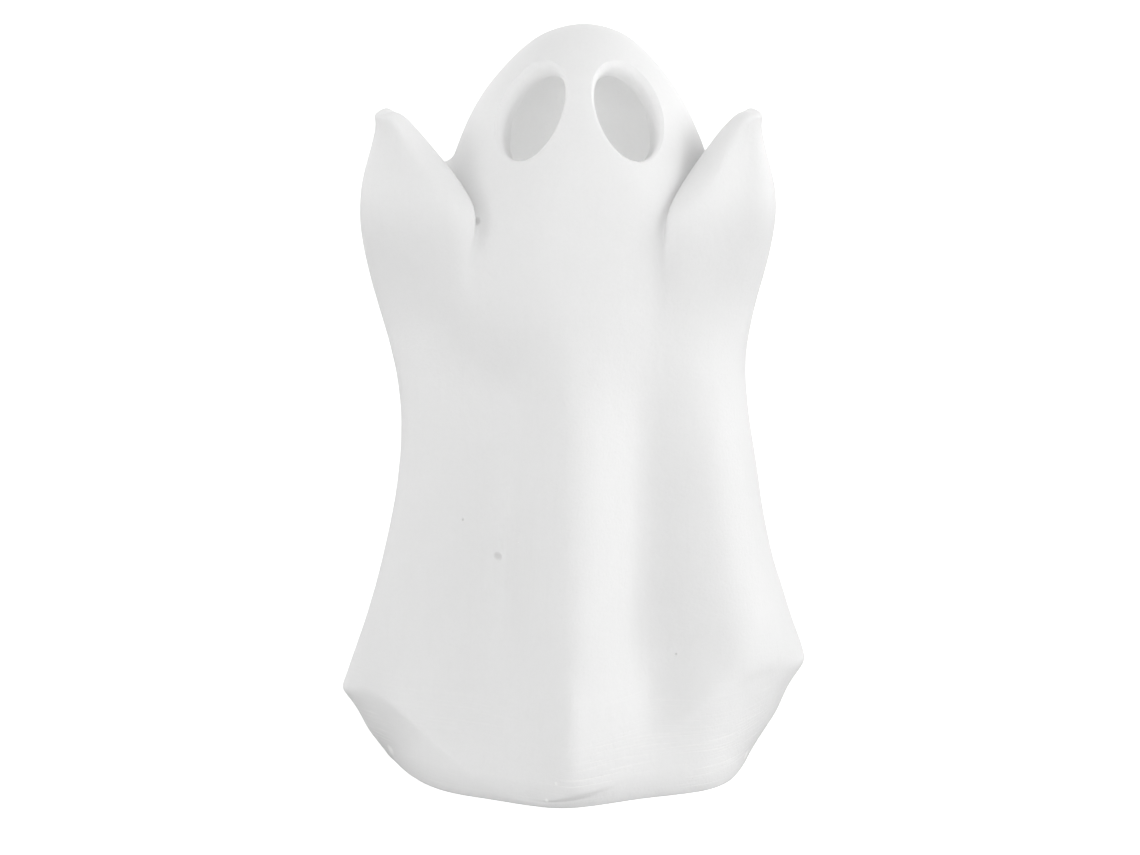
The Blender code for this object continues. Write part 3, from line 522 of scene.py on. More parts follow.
# An arm's sections from shoulder to tip: four points along the palm, four along the side by the head
armShares = (
    ((0.243, 0.030, 0.755), (0.272, -0.088, 0.760), (0.218, -0.130, 0.764), (0.153, -0.166, 0.762),
     (0.209, 0.030, 0.816), (0.207, -0.024, 0.816), (0.172, -0.094, 0.808), (0.124, -0.153, 0.784)),
    ((0.240, 0.002, 0.832), (0.262, -0.082, 0.832), (0.230, -0.110, 0.834), (0.192, -0.133, 0.833),
     (0.222, 0.006, 0.842), (0.209, -0.030, 0.842), (0.188, -0.072, 0.842), (0.166, -0.110, 0.839)),
    ((0.239, -0.022, 0.878), (0.251, -0.078, 0.878), (0.237, -0.103, 0.879), (0.216, -0.113, 0.879),
     (0.230, -0.020, 0.882), (0.222, -0.045, 0.882), (0.211, -0.072, 0.882), (0.204, -0.094, 0.882)),
)
armTipShare = (0.236, -0.078, 0.895)
armTipSpreadShare = 0.60


def spokeAzimuth(spoke, heightShare):
    climb = min(1.0, heightShare / ringShares[ghost["shoulderRing"]][0])
    return radians(hemAzimuths[spoke] + (shoulderAzimuths[spoke] - hemAzimuths[spoke]) * climb)


def ringPoint(spoke, heightShare, offsetShare, share, inset=0.0):
    azimuth = spokeAzimuth(spoke, heightShare)
    radius = share * ghost["footRadius"] - inset
    return Vector((
        offsetShare * ghost["footRadius"] + radius * sin(azimuth),
        -radius * cos(azimuth),
        heightShare * ghost["height"],
    ))


def roundRing(radius, height, shares=(1.0,) * 16):
    ring = []
    for spoke, share in enumerate(shares):
        azimuth = spokeAzimuth(spoke, 0.0)
        x, y = radius * share * sin(azimuth), -radius * share * cos(azimuth)
        ring.append(Vector((ghost["footOffset"] + x, y, height)))
    return ring


def nearest(verts, place):
    return min(verts, key=lambda vert: (vert.co - place).length)


def moveVerts(verts, places):
    # one point after another is picked and drawn to its place
    bpy.ops.mesh.select_all(action="DESELECT")
    for vert, place in zip(verts, places):
        vert.select = True
        bpy.ops.transform.translate(value=place - vert.co)
        vert.select = False


def drawUpRings(name, rings, apex):
    # A sixteen-sided disc is the foot. Its face is extruded up ring by ring and closed at the apex.
    middle = sum(rings[0], Vector()) / len(rings[0])
    bpy.ops.mesh.primitive_circle_add(
        vertices=ghost["spokes"], radius=(rings[0][0] - middle).length, fill_type="NGON", location=middle,
        rotation=(0, 0, -pi / 2)
    )
    piece = settle(bpy.context.object)
    piece.name = piece.data.name = name
    bm = editing(piece)
    ordered = [nearest(bm.verts, place) for place in rings[0]]
    moveVerts(ordered, rings[0])
    for lower, upper in zip(rings, rings[1:]):
        rise = Vector((0, 0, max(point.z for point in upper) - min(point.z for point in lower)))
        old = [vert.co.copy() for vert in ordered]
        pick(piece, "faces", lambda face: all(vert in ordered for vert in face.verts))
        bpy.ops.mesh.extrude_region_move(TRANSFORM_OT_translate={"value": rise})
        fresh = [vert for vert in bm.verts if vert.select]
        ordered = [nearest(fresh, place + rise) for place in old]
        moveVerts(ordered, upper)
    pick(piece, "faces", lambda face: all(vert in ordered for vert in face.verts))
    bpy.ops.mesh.poke()
    crown = [vert for vert in bm.verts if vert.select and vert not in ordered]
    moveVerts(crown, [apex])
    return piece


def armPoint(shares, side):
    # the arms stand a little to the left of the head, the more the farther out
    x, y, z = shares
    shift = ghost["armsOffset"] * x / ghost["armReachShare"]
    return Vector((shift + side * x * ghost["height"], y * ghost["height"], z * ghost["height"]))


def drawOutArm(piece, lower, upper, side):
    # the shoulder's three faces are extruded in four steps, and each step's points take their section
    bm = bmesh.from_edit_mesh(piece.data)
    held = [nearest(bm.verts, place) for place in lower + upper]
    tip = armPoint(armTipShare, side)
    last = [armPoint(point, side) for point in armShares[-1]]
    middle = sum(last, Vector()) / len(last)
    sections = [[armPoint(point, side) for point in section] for section in armShares]
    sections.append([tip + (point - middle) * armTipSpreadShare for point in last])
    for section in sections:
        step = (sum(section, Vector()) - sum((vert.co for vert in held), Vector())) / len(section)
        old = [vert.co.copy() for vert in held]
        pick(piece, "faces", lambda face: all(vert in held for vert in face.verts))
        bpy.ops.mesh.extrude_region_move(TRANSFORM_OT_translate={"value": step})
        fresh = [vert for vert in bm.verts if vert.select]
        held = [nearest(fresh, place + step) for place in old]
        moveVerts(held, section)


def creaseEdges(piece, pairs, amount):
    bm = bmesh.from_edit_mesh(piece.data)
    ends = [{nearest(bm.verts, a), nearest(bm.verts, b)} for a, b in pairs]
    bpy.ops.mesh.select_mode(type="EDGE")
    pick(piece, "edges", lambda edge: set(edge.verts) in ends)
    bpy.ops.transform.edge_crease(value=amount)
    bpy.ops.mesh.select_mode(type="VERT")


def smoothThrough(piece, levels):
    # The smooth skin draws in from its cage, so the cage is pushed out until the skin meets the first places.
    smooth = piece.modifiers.new("smooth", "SUBSURF")
    smooth.levels = smooth.render_levels = levels
    wanted = [vert.co.copy() for vert in piece.data.vertices]
    for _ in range(ghost["skinRounds"]):
        bpy.context.view_layer.update()
        skin = piece.evaluated_get(bpy.context.evaluated_depsgraph_get()).data
        moves = [place - skin.vertices[number].co for number, place in enumerate(wanted)]
        for vert, move in zip(piece.data.vertices, moves):
            vert.co += move
    return applyModifiers(piece)


def softenCrevices(piece):
    # the crevices between head and arms are rubbed out until they run soft
    bm = editing(piece)

    def sunk(vert):
        around = [edge.other_vert(vert).co for edge in vert.link_edges]
        middle = sum(around, Vector()) / len(around)
        return (middle - vert.co).dot(vert.normal) > ghost["creviceBend"]

    for (low, high), rounds in zip(ghost["creviceBoxes"], ghost["creviceRounds"]):
        inside = [vert for vert in bm.verts if all(a < b < c for a, b, c in zip(low, vert.co, high))]
        for _ in range(rounds):
            bpy.ops.mesh.select_all(action="DESELECT")
            for vert in inside:
                vert.select = sunk(vert)
            bpy.ops.mesh.vertices_smooth(factor=ghost["rubbing"], repeat=ghost["rubbings"])
    return done(piece)


def ringPairs(ring):
    return list(zip(ring, ring[1:] + ring[:1]))


def bandRing(foot, hem):
    # the sanded band of the foot ends part of the way up and out to the hem
    ring = []
    for low, high, spread in zip(foot, hem, bandSpreadShares):
        point = low.lerp(high, spread)
        point.z = low.z + (high.z - low.z) * ghost["bandRiseShare"]
        ring.append(point)
    return ring


def bodySkin():
    foot = roundRing(ghost["footRadius"], -ghost["footSpare"], footShares)
    spokes = range(ghost["spokes"])
    hem = [ringPoint(k, hemHeightShares[k], 0.0, hemShares[k]) for k in spokes]
    band = bandRing(foot, hem)
    rings = [foot, band, hem]
    shoulder = len(rings) + ghost["shoulderRing"]
    for height, offset, shares in ringShares:
        rings.append([ringPoint(k, height, offset, shares[k]) for k in spokes])
    # the crevice between head and arm runs shallow over the shoulder
    for k, rise in ghost["saddleRises"].items():
        rings[shoulder + 1][k].z += rise
    apex = Vector((ghost["apexOffsetShare"] * ghost["footRadius"], 0, ghost["height"]))
    piece = drawUpRings("ghost", rings, apex)
    creaseEdges(piece, ringPairs(foot), ghost["footCrease"])
    creaseEdges(piece, ringPairs(band), ghost["bandCrease"])
    for spoke, pair in enumerate(ringPairs(hem)):
        creaseEdges(piece, [pair], ghost["hemCrease"][spoke])
    for spoke, amounts in ghost["ridgeCreases"].items():
        for low, high, amount in zip(rings[2:], rings[3:], amounts):
            creaseEdges(piece, [(low[spoke], high[spoke])], amount)
    for side, order in ((-1, (11, 12, 13, 14)), (1, (5, 4, 3, 2))):
        lower, upper = ([rings[number][k] for k in order] for number in (shoulder, shoulder + 1))
        drawOutArm(piece, lower, upper, side)
    bpy.ops.mesh.select_all(action="SELECT")
    bpy.ops.mesh.normals_make_consistent(inside=False)
    done(piece)
    smoothThrough(piece, ghost["levels"])
    return softenCrevices(piece)


def hollowCutter():
    bottom = ghost["ledgeHeight"] - ghost["cutterSpare"]
    rings = [roundRing(ghost["mouthRadius"], z) for z in (bottom, ghost["hollowStart"])]
    # every second ring is enough inside
    for height, offset, shares in ringShares[:-1:2]:
        low = min(shares)
        sides = [low + (share - low) * ghost["hollowShoulderShare"] for share in shares]
        rings.append([ringPoint(k, height, offset, share, ghost["wall"]) for k, share in enumerate(sides)])
    apex = Vector((ghost["apexOffsetShare"] * ghost["footRadius"], 0, ghost["height"] - ghost["wall"]))
    piece = drawUpRings("hollow", rings, apex)
    bpy.ops.mesh.select_all(action="SELECT")
    bpy.ops.mesh.normals_make_consistent(inside=False)
    done(piece)
    return smoothThrough(piece, ghost["insideLevels"])


eyes = {
    "height": 0.1622,
    "spacing": 0.0230,
    "middle": 0.0010,
    "width": 0.0150,
    "length": 0.0232,
    "slant": 2.0,
    "lip": (0.0007, 0.0034),
    "lipTurns": (18, 28, 38, 48, 58, 68, 79, 90),
    "depths": (0.0040, 0.0046, 0.0052, 0.0058, 0.0066, 0.0130),
    "lipEase": 1.5,
    # the inner edge is chipped from this depth on, fully a little deeper, and by up to about this much
    "chipStart": 0.0036,
    "chipFade": 0.0020,
    "chips": 0.0005,
    "chipTurns": 2.6,
    "chipGrain": 300,
    "points": 96,
    "overrun": 0.0020,
    # how far before the head and above the skin the rays start that find the skin
    "before": 0.1,
    "above": 0.05,
}


def eyeCutter(side, skin):
    # An oval punch, square to the head: its lip is rolled wide above and outside, and tight below and by
    # the nose. Its inner edge is chipped.
    corners = [vert.co for vert in skin.data.vertices]
    hull = BVHTree.FromPolygons(corners, [tuple(face.vertices) for face in skin.data.polygons])
    start = Vector((eyes["middle"] + side * eyes["spacing"] / 2, -eyes["before"], eyes["height"]))
    centre, outward, _, _ = hull.ray_cast(start, Vector((0, 1, 0)))
    sideways = Vector((0, 0, 1)).cross(outward).normalized()
    up = outward.cross(sideways)
    slant = side * radians(eyes["slant"])
    turns = [tau * number / eyes["points"] for number in range(eyes["points"])]
    tight, wide = eyes["lip"]

    def across(turn, spread):
        x = (eyes["width"] / 2 + spread) * cos(turn)
        y = (eyes["length"] / 2 + spread) * sin(turn)
        return sideways * (x * cos(slant) - y * sin(slant)) + up * (x * sin(slant) + y * cos(slant))

    def onSkin(turn, spread):
        return hull.ray_cast(centre + across(turn, spread) + outward * eyes["above"], -outward)[0]

    def lip(turn):
        # widest towards the upper outer side
        facing = (side * cos(turn) + sin(turn)) / 2 ** 0.5
        return tight + (wide - tight) * ((facing + 1) / 2) ** eyes["lipEase"]

    rings = []
    first, second = (radians(angle) for angle in eyes["lipTurns"][:2])
    slope = (sin(second) - sin(first)) / (cos(first) - cos(second))
    over = eyes["overrun"]
    rings.append([
        onSkin(t, lip(t) * (1 - sin(first))) + across(t, slope * over) - across(t, 0)
        + outward * (over - lip(t) * (1 - cos(first))) for t in turns
    ])
    for angle in map(radians, eyes["lipTurns"]):
        rings.append([
            onSkin(t, lip(t) * (1 - sin(angle))) - outward * lip(t) * (1 - cos(angle)) for t in turns
        ])
    for depth in eyes["depths"]:
        chip = min(1.0, max(0.0, (depth - eyes["chipStart"]) / eyes["chipFade"])) * eyes["chips"]
        ring = []
        for t in turns:
            x, y = cos(t) * eyes["chipTurns"], sin(t) * eyes["chipTurns"]
            rough = noise.noise(Vector((x, y, side * 4.0 + depth * eyes["chipGrain"])))
            ring.append(onSkin(t, 0.0) + across(t, chip * (0.6 + rough)) - across(t, 0) - outward * depth)
        rings.append(ring)
    bm = bmesh.new()
    loops = [[bm.verts.new(point) for point in ring] for ring in rings]
    for upper, lower in zip(loops, loops[1:]):
        for k in range(len(turns)):
            n = (k + 1) % len(turns)
            bm.faces.new((upper[k], upper[n], lower[n], lower[k]))
    bm.faces.new(loops[0])
    bm.faces.new(list(reversed(loops[-1])))
    bmesh.ops.recalc_face_normals(bm, faces=bm.faces)
    mesh = bpy.data.meshes.new("eyePunch")
    bm.to_mesh(mesh)
    bm.free()
    punch = bpy.data.objects.new("eyePunch", mesh)
    scene.collection.objects.link(punch)
    return punch


def roundPunch(radius, top):
    # a round cutter from just under the foot up to its top
    bottom = -ghost["cutterSpare"]
    bpy.ops.mesh.primitive_cylinder_add(
        vertices=ghost["punchSides"], radius=radius, depth=top - bottom,
        location=(ghost["footOffset"], 0.0, (top + bottom) / 2)
    )
    return settle(bpy.context.object)


def softWaves(piece):
    # hand work is never quite even
    for name, size, depth in ghost["waves"]:
        texture = bpy.data.textures.new(name, "CLOUDS")
        texture.noise_scale = size
        wave = piece.modifiers.new(name, "DISPLACE")
        wave.texture = texture
        wave.texture_coords = "LOCAL"
        wave.strength = depth
        wave.mid_level = 0.5
    return applyModifiers(piece)


def makeGhost(resin):
    skin = softWaves(bodySkin())
    punches = [eyeCutter(side, skin) for side in (-1, 1)]
    carve(skin, hollowCutter())
    for punch in punches:
        carve(skin, punch)
    editing(skin)
    bpy.ops.mesh.select_all(action="SELECT")
    bpy.ops.mesh.bisect(
        plane_co=(0, 0, 0), plane_no=(0, 0, 1), use_fill=True, clear_inner=True, threshold=0.000001
    )
    done(skin)
    carve(skin, roundPunch(ghost["rebateRadius"], ghost["ledgeHeight"]))
    carve(skin, roundPunch(ghost["mouthRadius"], ghost["hollowStart"] - ghost["mouthShort"]))
    skin.data.materials.clear()
    skin.data.materials.append(resin)
    settle(skin, ghost["shadeAngle"])
    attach(skin, "statue")
    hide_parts("ghost_shell")
    return skin


resin = resinMaterial()
makeGhost(resin)
print("ghost ready")


# The pieces in the base keep their solids and take their finishes here

def wearGroup():
    # Handling marks: broad smears, a fine tooth of the moulded surface, and stray hairline scuffs
    group, inputs, outputs = newGroup("handlingWear", [
        ("Vector", "INPUT", "NodeSocketVector", None),
        ("Tooth", "INPUT", "NodeSocketFloat", 2400.0),
        ("Smear", "OUTPUT", "NodeSocketFloat", None),
        ("Scuff", "OUTPUT", "NodeSocketFloat", None),
        ("Height", "OUTPUT", "NodeSocketFloat", None),
    ])
    vector = inputs.outputs["Vector"]
    smear = noiseNode(group, vector, 140.0, 3.0, 0.6)
    stretched = group.nodes.new("ShaderNodeMapping")
    stretched.inputs["Scale"].default_value = (2600.0, 180.0, 180.0)
    stretched.inputs["Rotation"].default_value = (0.0, 0.0, 0.6)
    wire(group, (vector, stretched.inputs["Vector"]))
    scuff = rangeNode(group, noiseNode(group, stretched.outputs["Vector"], 1.0, 2.0, 0.6), 0.66, 0.74)
    tooth = group.nodes.new("ShaderNodeTexNoise")
    tooth.inputs["Detail"].default_value = 2.0
    wire(group, (vector, tooth.inputs["Vector"]), (inputs.outputs["Tooth"], tooth.inputs["Scale"]))
    height = mathNode(group, "MULTIPLY_ADD", scuff, -0.4, tooth.outputs["Fac"])
    wire(group, (smear, outputs.inputs["Smear"]), (scuff, outputs.inputs["Scuff"]))
    wire(group, (height, outputs.inputs["Height"]))
    return group


handlingWear = wearGroup()

finishes = {
    # name: colour, its duller tone, roughness from and to, metallic, depth of the surface's tooth
    "whiteMoulding": ((0.79, 0.79, 0.77), (0.70, 0.70, 0.68), 0.42, 0.58, 0.0, 0.00010),
    "nickelPlate": ((0.72, 0.71, 0.68), (0.55, 0.54, 0.50), 0.18, 0.36, 1.0, 0.00003),
    "blackZinc": ((0.10, 0.10, 0.11), (0.05, 0.05, 0.05), 0.30, 0.48, 1.0, 0.00003),
    "springSteel": ((0.66, 0.65, 0.62), (0.42, 0.40, 0.36), 0.22, 0.42, 1.0, 0.00004),
    "blackMoulding": ((0.022, 0.022, 0.024), (0.045, 0.045, 0.047), 0.34, 0.55, 0.0, 0.00008),
    "redSleeve": ((0.52, 0.025, 0.02), (0.38, 0.02, 0.018), 0.34, 0.46, 0.0, 0.00004),
    "blackSleeve": ((0.025, 0.025, 0.027), (0.05, 0.05, 0.052), 0.34, 0.46, 0.0, 0.00004),
}


def finishMaterial(name):
    colour, dull, smooth, rough, metallic, depth = finishes[name]
    material, tree, shader, coords = newMaterial(name, colour, smooth, metallic)
    wear = placeGroup(tree, handlingWear, Vector=coords)
    tone = rangeNode(tree, wear.outputs["Smear"], 0.35, 0.75)
    tint = mixColour(tree, tone, colour, dull)
    tint = mixColour(tree, mathNode(tree, "MULTIPLY", wear.outputs["Scuff"], 0.35), tint, dull)
    wire(tree, (tint, shader.inputs["Base Color"]))
    wire(tree, (rangeNode(tree, wear.outputs["Smear"], 0.3, 0.7, smooth, rough), shader.inputs["Roughness"]))
    bumpInto(tree, shader, wear.outputs["Height"], 0.5, depth)
    return material, tree, shader, coords, wear


def dress(nodes, material):
    for node in nodes:
        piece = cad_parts[node]
        piece.data.materials.clear()
        piece.data.materials.append(material)


def between(tree, value, low, high, soft=0.00008):
    # 1 from low to high, 0 outside
    rise = rangeNode(tree, value, low - soft, low + soft)
    return mathNode(tree, "MULTIPLY", rise, rangeNode(tree, value, high + soft, high - soft))


def axisOf(tree, coords, axis):
    split = tree.nodes.new("ShaderNodeSeparateXYZ")
    wire(tree, (coords, split.inputs[0]))
    return split.outputs[axis]


cellLook = {
    "sleeve": (0.035, 0.085, 0.16),
    "band": (0.78, 0.79, 0.80),
    "steel": (0.70, 0.69, 0.67),
    "bandShare": 0.20,
    "bandSoft": 0.004,
    "lineFrom": 0.76,
    "lineShare": 0.012,
    "lineSoft": 0.002,
    "scuffTint": 0.15,
    "endCover": 0.0006,
    "endRadius": 0.0048,
    "endBareRadius": 0.0046,
    "nub": 0.0010,
}


def cellMaterial(number, way):
    # a printed sleeve with a pale band at the plus end, shrunk over both steel ends
    look = cellLook
    material, tree, shader, coords, wear = finishMaterial("blackMoulding")
    material.name = f"cellSleeve{number}"
    low, high = (corner[0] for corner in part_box(f"cell_{number}"))
    flat, top = (low, high - look["nub"]) if way > 0 else (high, low + look["nub"])
    along = rangeNode(tree, axisOf(tree, coords, "X"), flat, top)
    band = between(tree, along, 1.0 - look["bandShare"], 2.0, look["bandSoft"])
    line = between(tree, along, look["lineFrom"], look["lineFrom"] + look["lineShare"], look["lineSoft"])
    sleeve = mixColour(tree, mathNode(tree, "MAXIMUM", band, line), look["sleeve"], look["band"])
    # the sleeve is shrunk a little way over the ends, and their middle is bare
    cover = look["endCover"] / abs(top - flat)
    radial = fromAxis(tree, coords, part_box(f"cell_{number}"))
    plusEnd = rangeNode(tree, along, 1.0 - cover, 1.0 - cover * 0.8)
    bare = mathNode(tree, "MAXIMUM", plusEnd, rangeNode(tree, along, cover, cover * 0.8))
    inner = rangeNode(tree, radial, look["endRadius"], look["endBareRadius"])
    bare = mathNode(tree, "MULTIPLY", bare, inner)
    tint = mixColour(tree, bare, sleeve, look["steel"])
    scuff = mathNode(tree, "MULTIPLY", wear.outputs["Scuff"], look["scuffTint"])
    tint = mixColour(tree, scuff, tint, look["band"])
    wire(tree, (tint, shader.inputs["Base Color"]), (bare, shader.inputs["Metallic"]))
    return material


def fromAxis(tree, coords, box):
    # distance from the axis of a piece that lies along x
    middle = [(low + high) / 2 for low, high in zip(*box)]
    flat = tree.nodes.new("ShaderNodeMapping")
    flat.inputs["Location"].default_value = (0.0, -middle[1], -middle[2])
    flat.inputs["Scale"].default_value = (0.0, 1.0, 1.0)
    length = tree.nodes.new("ShaderNodeVectorMath")
    length.operation = "LENGTH"
    wire(tree, (coords, flat.inputs["Vector"]), (flat.outputs["Vector"], length.inputs[0]))
    return length.outputs["Value"]


boardLook = {
    "mask": (0.012, 0.13, 0.05),
    "trace": (0.02, 0.21, 0.085),
    "edge": (0.38, 0.36, 0.22),
    # the tracks: their pitch, and length and gap as shares of it
    "pitch": 0.0019,
    "lengthShare": 3.4,
    "gapShare": 0.17,
    "thinScale": 210.0,
    "trackDepth": 0.00004,
    "coat": 0.4,
}


def boardMaterial():
    # green mask over copper tracks on both faces, the bare laminate at its edges
    look = boardLook
    material, tree, shader, coords, _ = finishMaterial("blackMoulding")
    material.name = "boardGreen"
    tracks = tree.nodes.new("ShaderNodeTexBrick")
    tracks.inputs["Scale"].default_value = 1.0
    tracks.inputs["Brick Width"].default_value = look["pitch"] * look["lengthShare"]
    tracks.inputs["Row Height"].default_value = look["pitch"]
    tracks.inputs["Mortar Size"].default_value = look["pitch"] * look["gapShare"]
    tracks.inputs["Mortar Smooth"].default_value = 0.15
    wire(tree, (coords, tracks.inputs["Vector"]))
    thinned = rangeNode(tree, noiseNode(tree, coords, look["thinScale"], 1.0), 0.44, 0.50)
    track = mathNode(tree, "MULTIPLY", tracks.outputs["Fac"], thinned)
    colour = mixColour(tree, track, look["mask"], look["trace"])
    normal = axisOf(tree, tree.nodes.new("ShaderNodeNewGeometry").outputs["Normal"], "Z")
    flat = rangeNode(tree, mathNode(tree, "ABSOLUTE", normal), 0.4, 0.6)
    colour = mixColour(tree, flat, look["edge"], colour)
    wire(tree, (colour, shader.inputs["Base Color"]))
    bumpInto(tree, shader, track, 0.6, look["trackDepth"])
    shader.inputs["Coat Weight"].default_value = look["coat"]
    return material


resistorLook = {
    "body": (0.60, 0.43, 0.25),
    "lead": (0.66, 0.65, 0.62),
    "bandWidth": 0.00030,
    "bandSoft": 0.00003,
    # place along the body from its left end, and the ring's colour
    "bands": (
        (0.0024, (0.42, 0.10, 0.02)), (0.0032, (0.03, 0.03, 0.03)),
        (0.0040, (0.42, 0.10, 0.02)), (0.0050, (0.62, 0.42, 0.10)),
    ),
    "bodyRadius": 0.00055,
}


def resistorMaterial():
    look = resistorLook
    material, tree, shader, coords, _ = finishMaterial("blackMoulding")
    material.name = "resistorBody"
    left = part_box("resistor")[0][0]
    along = axisOf(tree, coords, "X")
    colour = look["body"]
    for place, ring in look["bands"]:
        start = left + place
        band = between(tree, along, start, start + look["bandWidth"], look["bandSoft"])
        colour = mixColour(tree, band, colour, ring)
    aside = fromAxis(tree, coords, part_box("resistor"))
    lead = rangeNode(tree, aside, look["bodyRadius"], look["bodyRadius"] * 0.8)
    colour = mixColour(tree, lead, colour, look["lead"])
    wire(tree, (colour, shader.inputs["Base Color"]), (lead, shader.inputs["Metallic"]))
    return material


lensLook = {
    "clear": (1.0, 0.97, 0.88),
    "yellowed": (0.97, 0.92, 0.78),
    "roughness": (0.04, 0.12),
    "transmission": 0.9,
    "ior": 1.5,
}


def lensMaterial():
    # clear cast epoxy, a trace of yellow, drawn streaks of the mould inside
    look = lensLook
    material, tree, shader, _, wear = finishMaterial("whiteMoulding")
    material.name = "clearLens"
    smear = wear.outputs["Smear"]
    tint = mixColour(tree, rangeNode(tree, smear, 0.3, 0.8), look["clear"], look["yellowed"])
    wire(tree, (tint, shader.inputs["Base Color"]))
    wire(tree, (rangeNode(tree, smear, 0.3, 0.8, *look["roughness"]), shader.inputs["Roughness"]))
    shader.inputs["Transmission Weight"].default_value = look["transmission"]
    shader.inputs["IOR"].default_value = look["ior"]
    return material


switchWords = {
    # raised letters under the base plate, one word at each end of the switch's slot
    "words": (("OFF", -0.0125, 0.0258), ("ON", 0.0085, 0.0258)),
    "size": 0.0034,
    "plateUnder": 0.0015,
    "proud": 0.00025,
    "swell": 0.00003,
    "curveSteps": 4,
    "shadeAngle": 30,
    "merge": 0.000005,
}


def mouldWords(finish):
    for word, x, y in switchWords["words"]:
        bpy.ops.object.text_add(location=(x, y, switchWords["plateUnder"]), rotation=(pi, 0, 0))
        letters = bpy.context.object
        letters.data.body = word
        letters.data.size = switchWords["size"]
        letters.data.align_x = letters.data.align_y = "CENTER"
        letters.data.resolution_u = switchWords["curveSteps"]
        letters.data.extrude = switchWords["proud"]
        letters.data.offset = switchWords["swell"]
        bpy.ops.object.convert(target="MESH")
        piece = settle(bpy.context.object, switchWords["shadeAngle"])
        piece.name = piece.data.name = "word" + word
        editing(piece)
        bpy.ops.mesh.select_all(action="SELECT")
        bpy.ops.mesh.remove_doubles(threshold=switchWords["merge"])
        bpy.ops.mesh.normals_make_consistent(inside=False)
        done(piece)
        piece.data.materials.clear()
        piece.data.materials.append(finish)
        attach(piece, "statue")


def dressBase():
    finish = {name: finishMaterial(name)[0] for name in finishes}
    mouldWords(finish["whiteMoulding"])
    dress(("base_plate", "battery_door"), finish["whiteMoulding"])
    dress([f"plate_screw_{number}" for number in (1, 2, 3)], finish["blackZinc"])
    dress([f"board_screw_{number}" for number in (1, 2)], finish["blackZinc"])
    dress(("contact_plus", "slide_switch"), finish["nickelPlate"])
    dress(("contact_minus", "link_left", "link_right"), finish["springSteel"])
    dress(("timer_chip", "switch_knob"), finish["blackMoulding"])
    dress(("wire_battery", "wire_switch"), finish["redSleeve"])
    dress(("wire_return",), finish["blackSleeve"])
    # the cells lie head to tail: 1 has its plus end on the right
    for number, way in ((1, 1), (2, -1), (3, 1)):
        dress((f"cell_{number}",), cellMaterial(number, way))
    dress(("circuit_board",), boardMaterial())
    dress(("resistor",), resistorMaterial())
    dress(("led_lamp",), lensMaterial())


dressBase()
print("base ready")


# Studio

studio = {
    "camera": (0.0, -0.6986, 0.2642),
    "aim": (-0.0012, 0.0, 0.0813),
    "lens": 93.1,
    "sensor": 36.0,
    # a weak light in the hollow, as what the eye holes let in: place, breadth and power
    "insidePlace": (0.0, 0.0, 0.075),
    "insideSize": 0.012,
    "insidePower": 0.0445,
    # broad soft lights, one in front, three on the right and a weaker one on the left: degrees round from
    # the front, degrees up, breadth in degrees and strength
    "softboxes": (
        (0, 12, 44, 1.15), (60, 15, 30, 0.71), (92, 30, 30, 0.67), (100, 4, 30, 0.38), (-65, 12, 30, 0.40),
    ),
    # the tent of white cloth round the table: its tone, and what each way from the middle adds
    "tent": 1.00,
    "tentRight": -0.23,
    "tentLeft": 0.19,
    "tentBack": 0.60,
    "tentFront": -0.50,
    "tentTop": -0.50,
    "table": (0.63, 0.63, 0.63),
    "tableSize": 6.0,
    "tableGlow": 0.68,
}


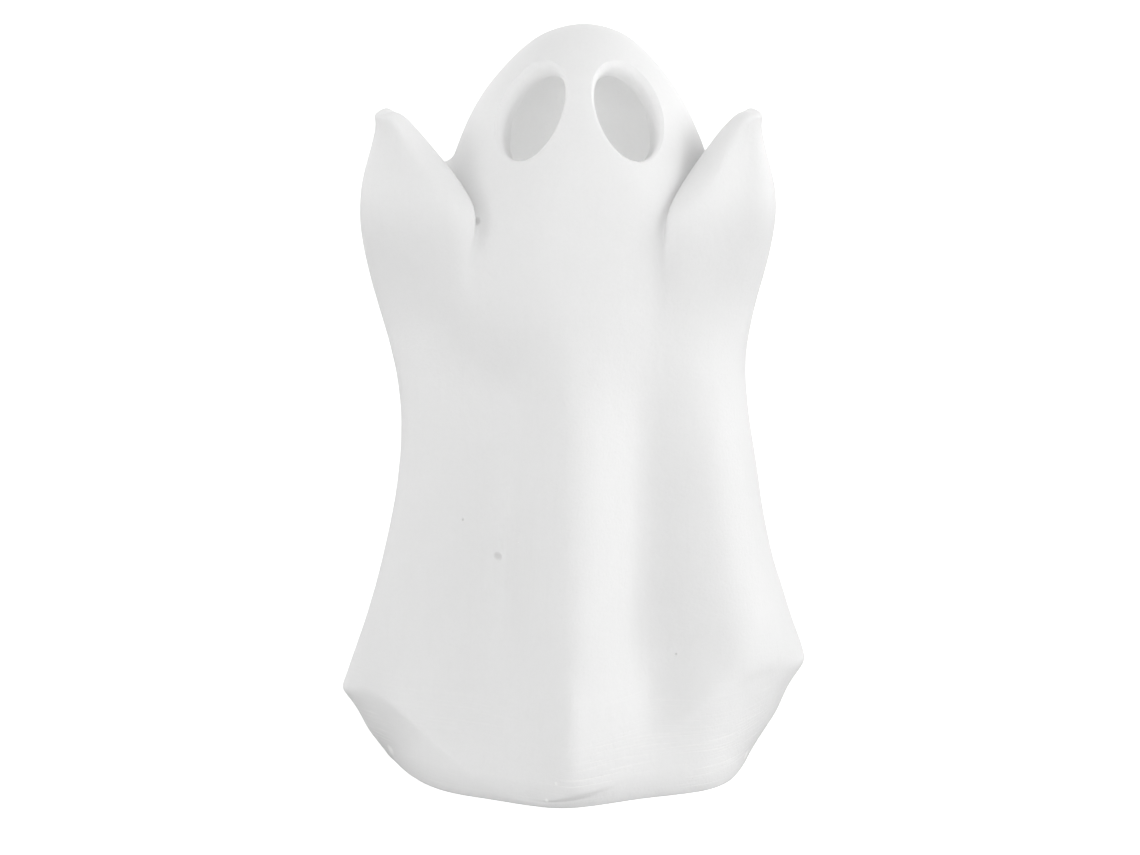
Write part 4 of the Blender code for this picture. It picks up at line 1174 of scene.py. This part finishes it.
def tentWorld():
    world = bpy.data.worlds.new("whiteTent")
    scene.world = world
    world.use_nodes = True
    tree = world.node_tree
    back = tree.nodes["Background"]
    back.inputs["Color"].default_value = (1, 1, 1, 1)
    split = tree.nodes.new("ShaderNodeSeparateXYZ")
    wire(tree, (tree.nodes.new("ShaderNodeTexCoord").outputs["Generated"], split.inputs[0]))
    tone = studio["tent"]
    ways = (
        ("X", 1, "tentRight"), ("X", -1, "tentLeft"), ("Y", 1, "tentBack"), ("Y", -1, "tentFront"),
        ("Z", 1, "tentTop"),
    )
    for axis, way, part in ways:
        share = mathNode(tree, "MAXIMUM", mathNode(tree, "MULTIPLY", split.outputs[axis], way), 0.0)
        tone = mathNode(tree, "MULTIPLY_ADD", share, studio[part], tone)
    # the camera sees plain white beyond the table
    seen = tree.nodes.new("ShaderNodeLightPath").outputs["Is Camera Ray"]
    wire(tree, (mathNode(tree, "MAXIMUM", tone, seen), back.inputs["Strength"]))


def softbox(number, turn, rise, breadth, power):
    light = bpy.data.lights.new(f"softbox{number}", "SUN")
    light.energy = power
    light.angle = radians(breadth)
    lamp = bpy.data.objects.new(light.name, light)
    scene.collection.objects.link(lamp)
    turn, rise = radians(turn), radians(rise)
    towards = Vector((sin(turn) * cos(rise), -cos(turn) * cos(rise), sin(rise)))
    lamp.rotation_euler = towards.to_track_quat("Z", "Y").to_euler()


def tableTop():
    # a sheet of pale acrylic, lit a little from below
    bpy.ops.mesh.primitive_plane_add(size=studio["tableSize"], location=(0, 0, 0))
    table = settle(bpy.context.object)
    table.name = "tableTop"
    material, tree, shader, _ = newMaterial("paleAcrylic", studio["table"], 1.0, specular=0.0)
    seen = tree.nodes.new("ShaderNodeLightPath").outputs["Is Camera Ray"]
    shader.inputs["Emission Color"].default_value = (1, 1, 1, 1)
    wire(tree, (mathNode(tree, "MULTIPLY", seen, studio["tableGlow"]), shader.inputs["Emission Strength"]))
    table.data.materials.append(material)


def makeStudio():
    tentWorld()
    for number, place in enumerate(studio["softboxes"], 1):
        softbox(number, *place)
    tableTop()
    inside = bpy.data.lights.new("insideLight", "POINT")
    inside.shadow_soft_size = studio["insideSize"]
    inside.energy = studio["insidePower"]
    lamp = bpy.data.objects.new("insideLight", inside)
    scene.collection.objects.link(lamp)
    lamp.location = studio["insidePlace"]
    lens = bpy.data.cameras.new("photoView")
    lens.lens = studio["lens"]
    lens.sensor_width = studio["sensor"]
    camera = bpy.data.objects.new("photoView", lens)
    scene.collection.objects.link(camera)
    camera.location = studio["camera"]
    aim = Vector(studio["aim"]) - Vector(studio["camera"])
    camera.rotation_euler = aim.to_track_quat("-Z", "Y").to_euler()
    scene.camera = camera
    scene.view_settings.view_transform = "Standard"


makeStudio()
print("studio ready")
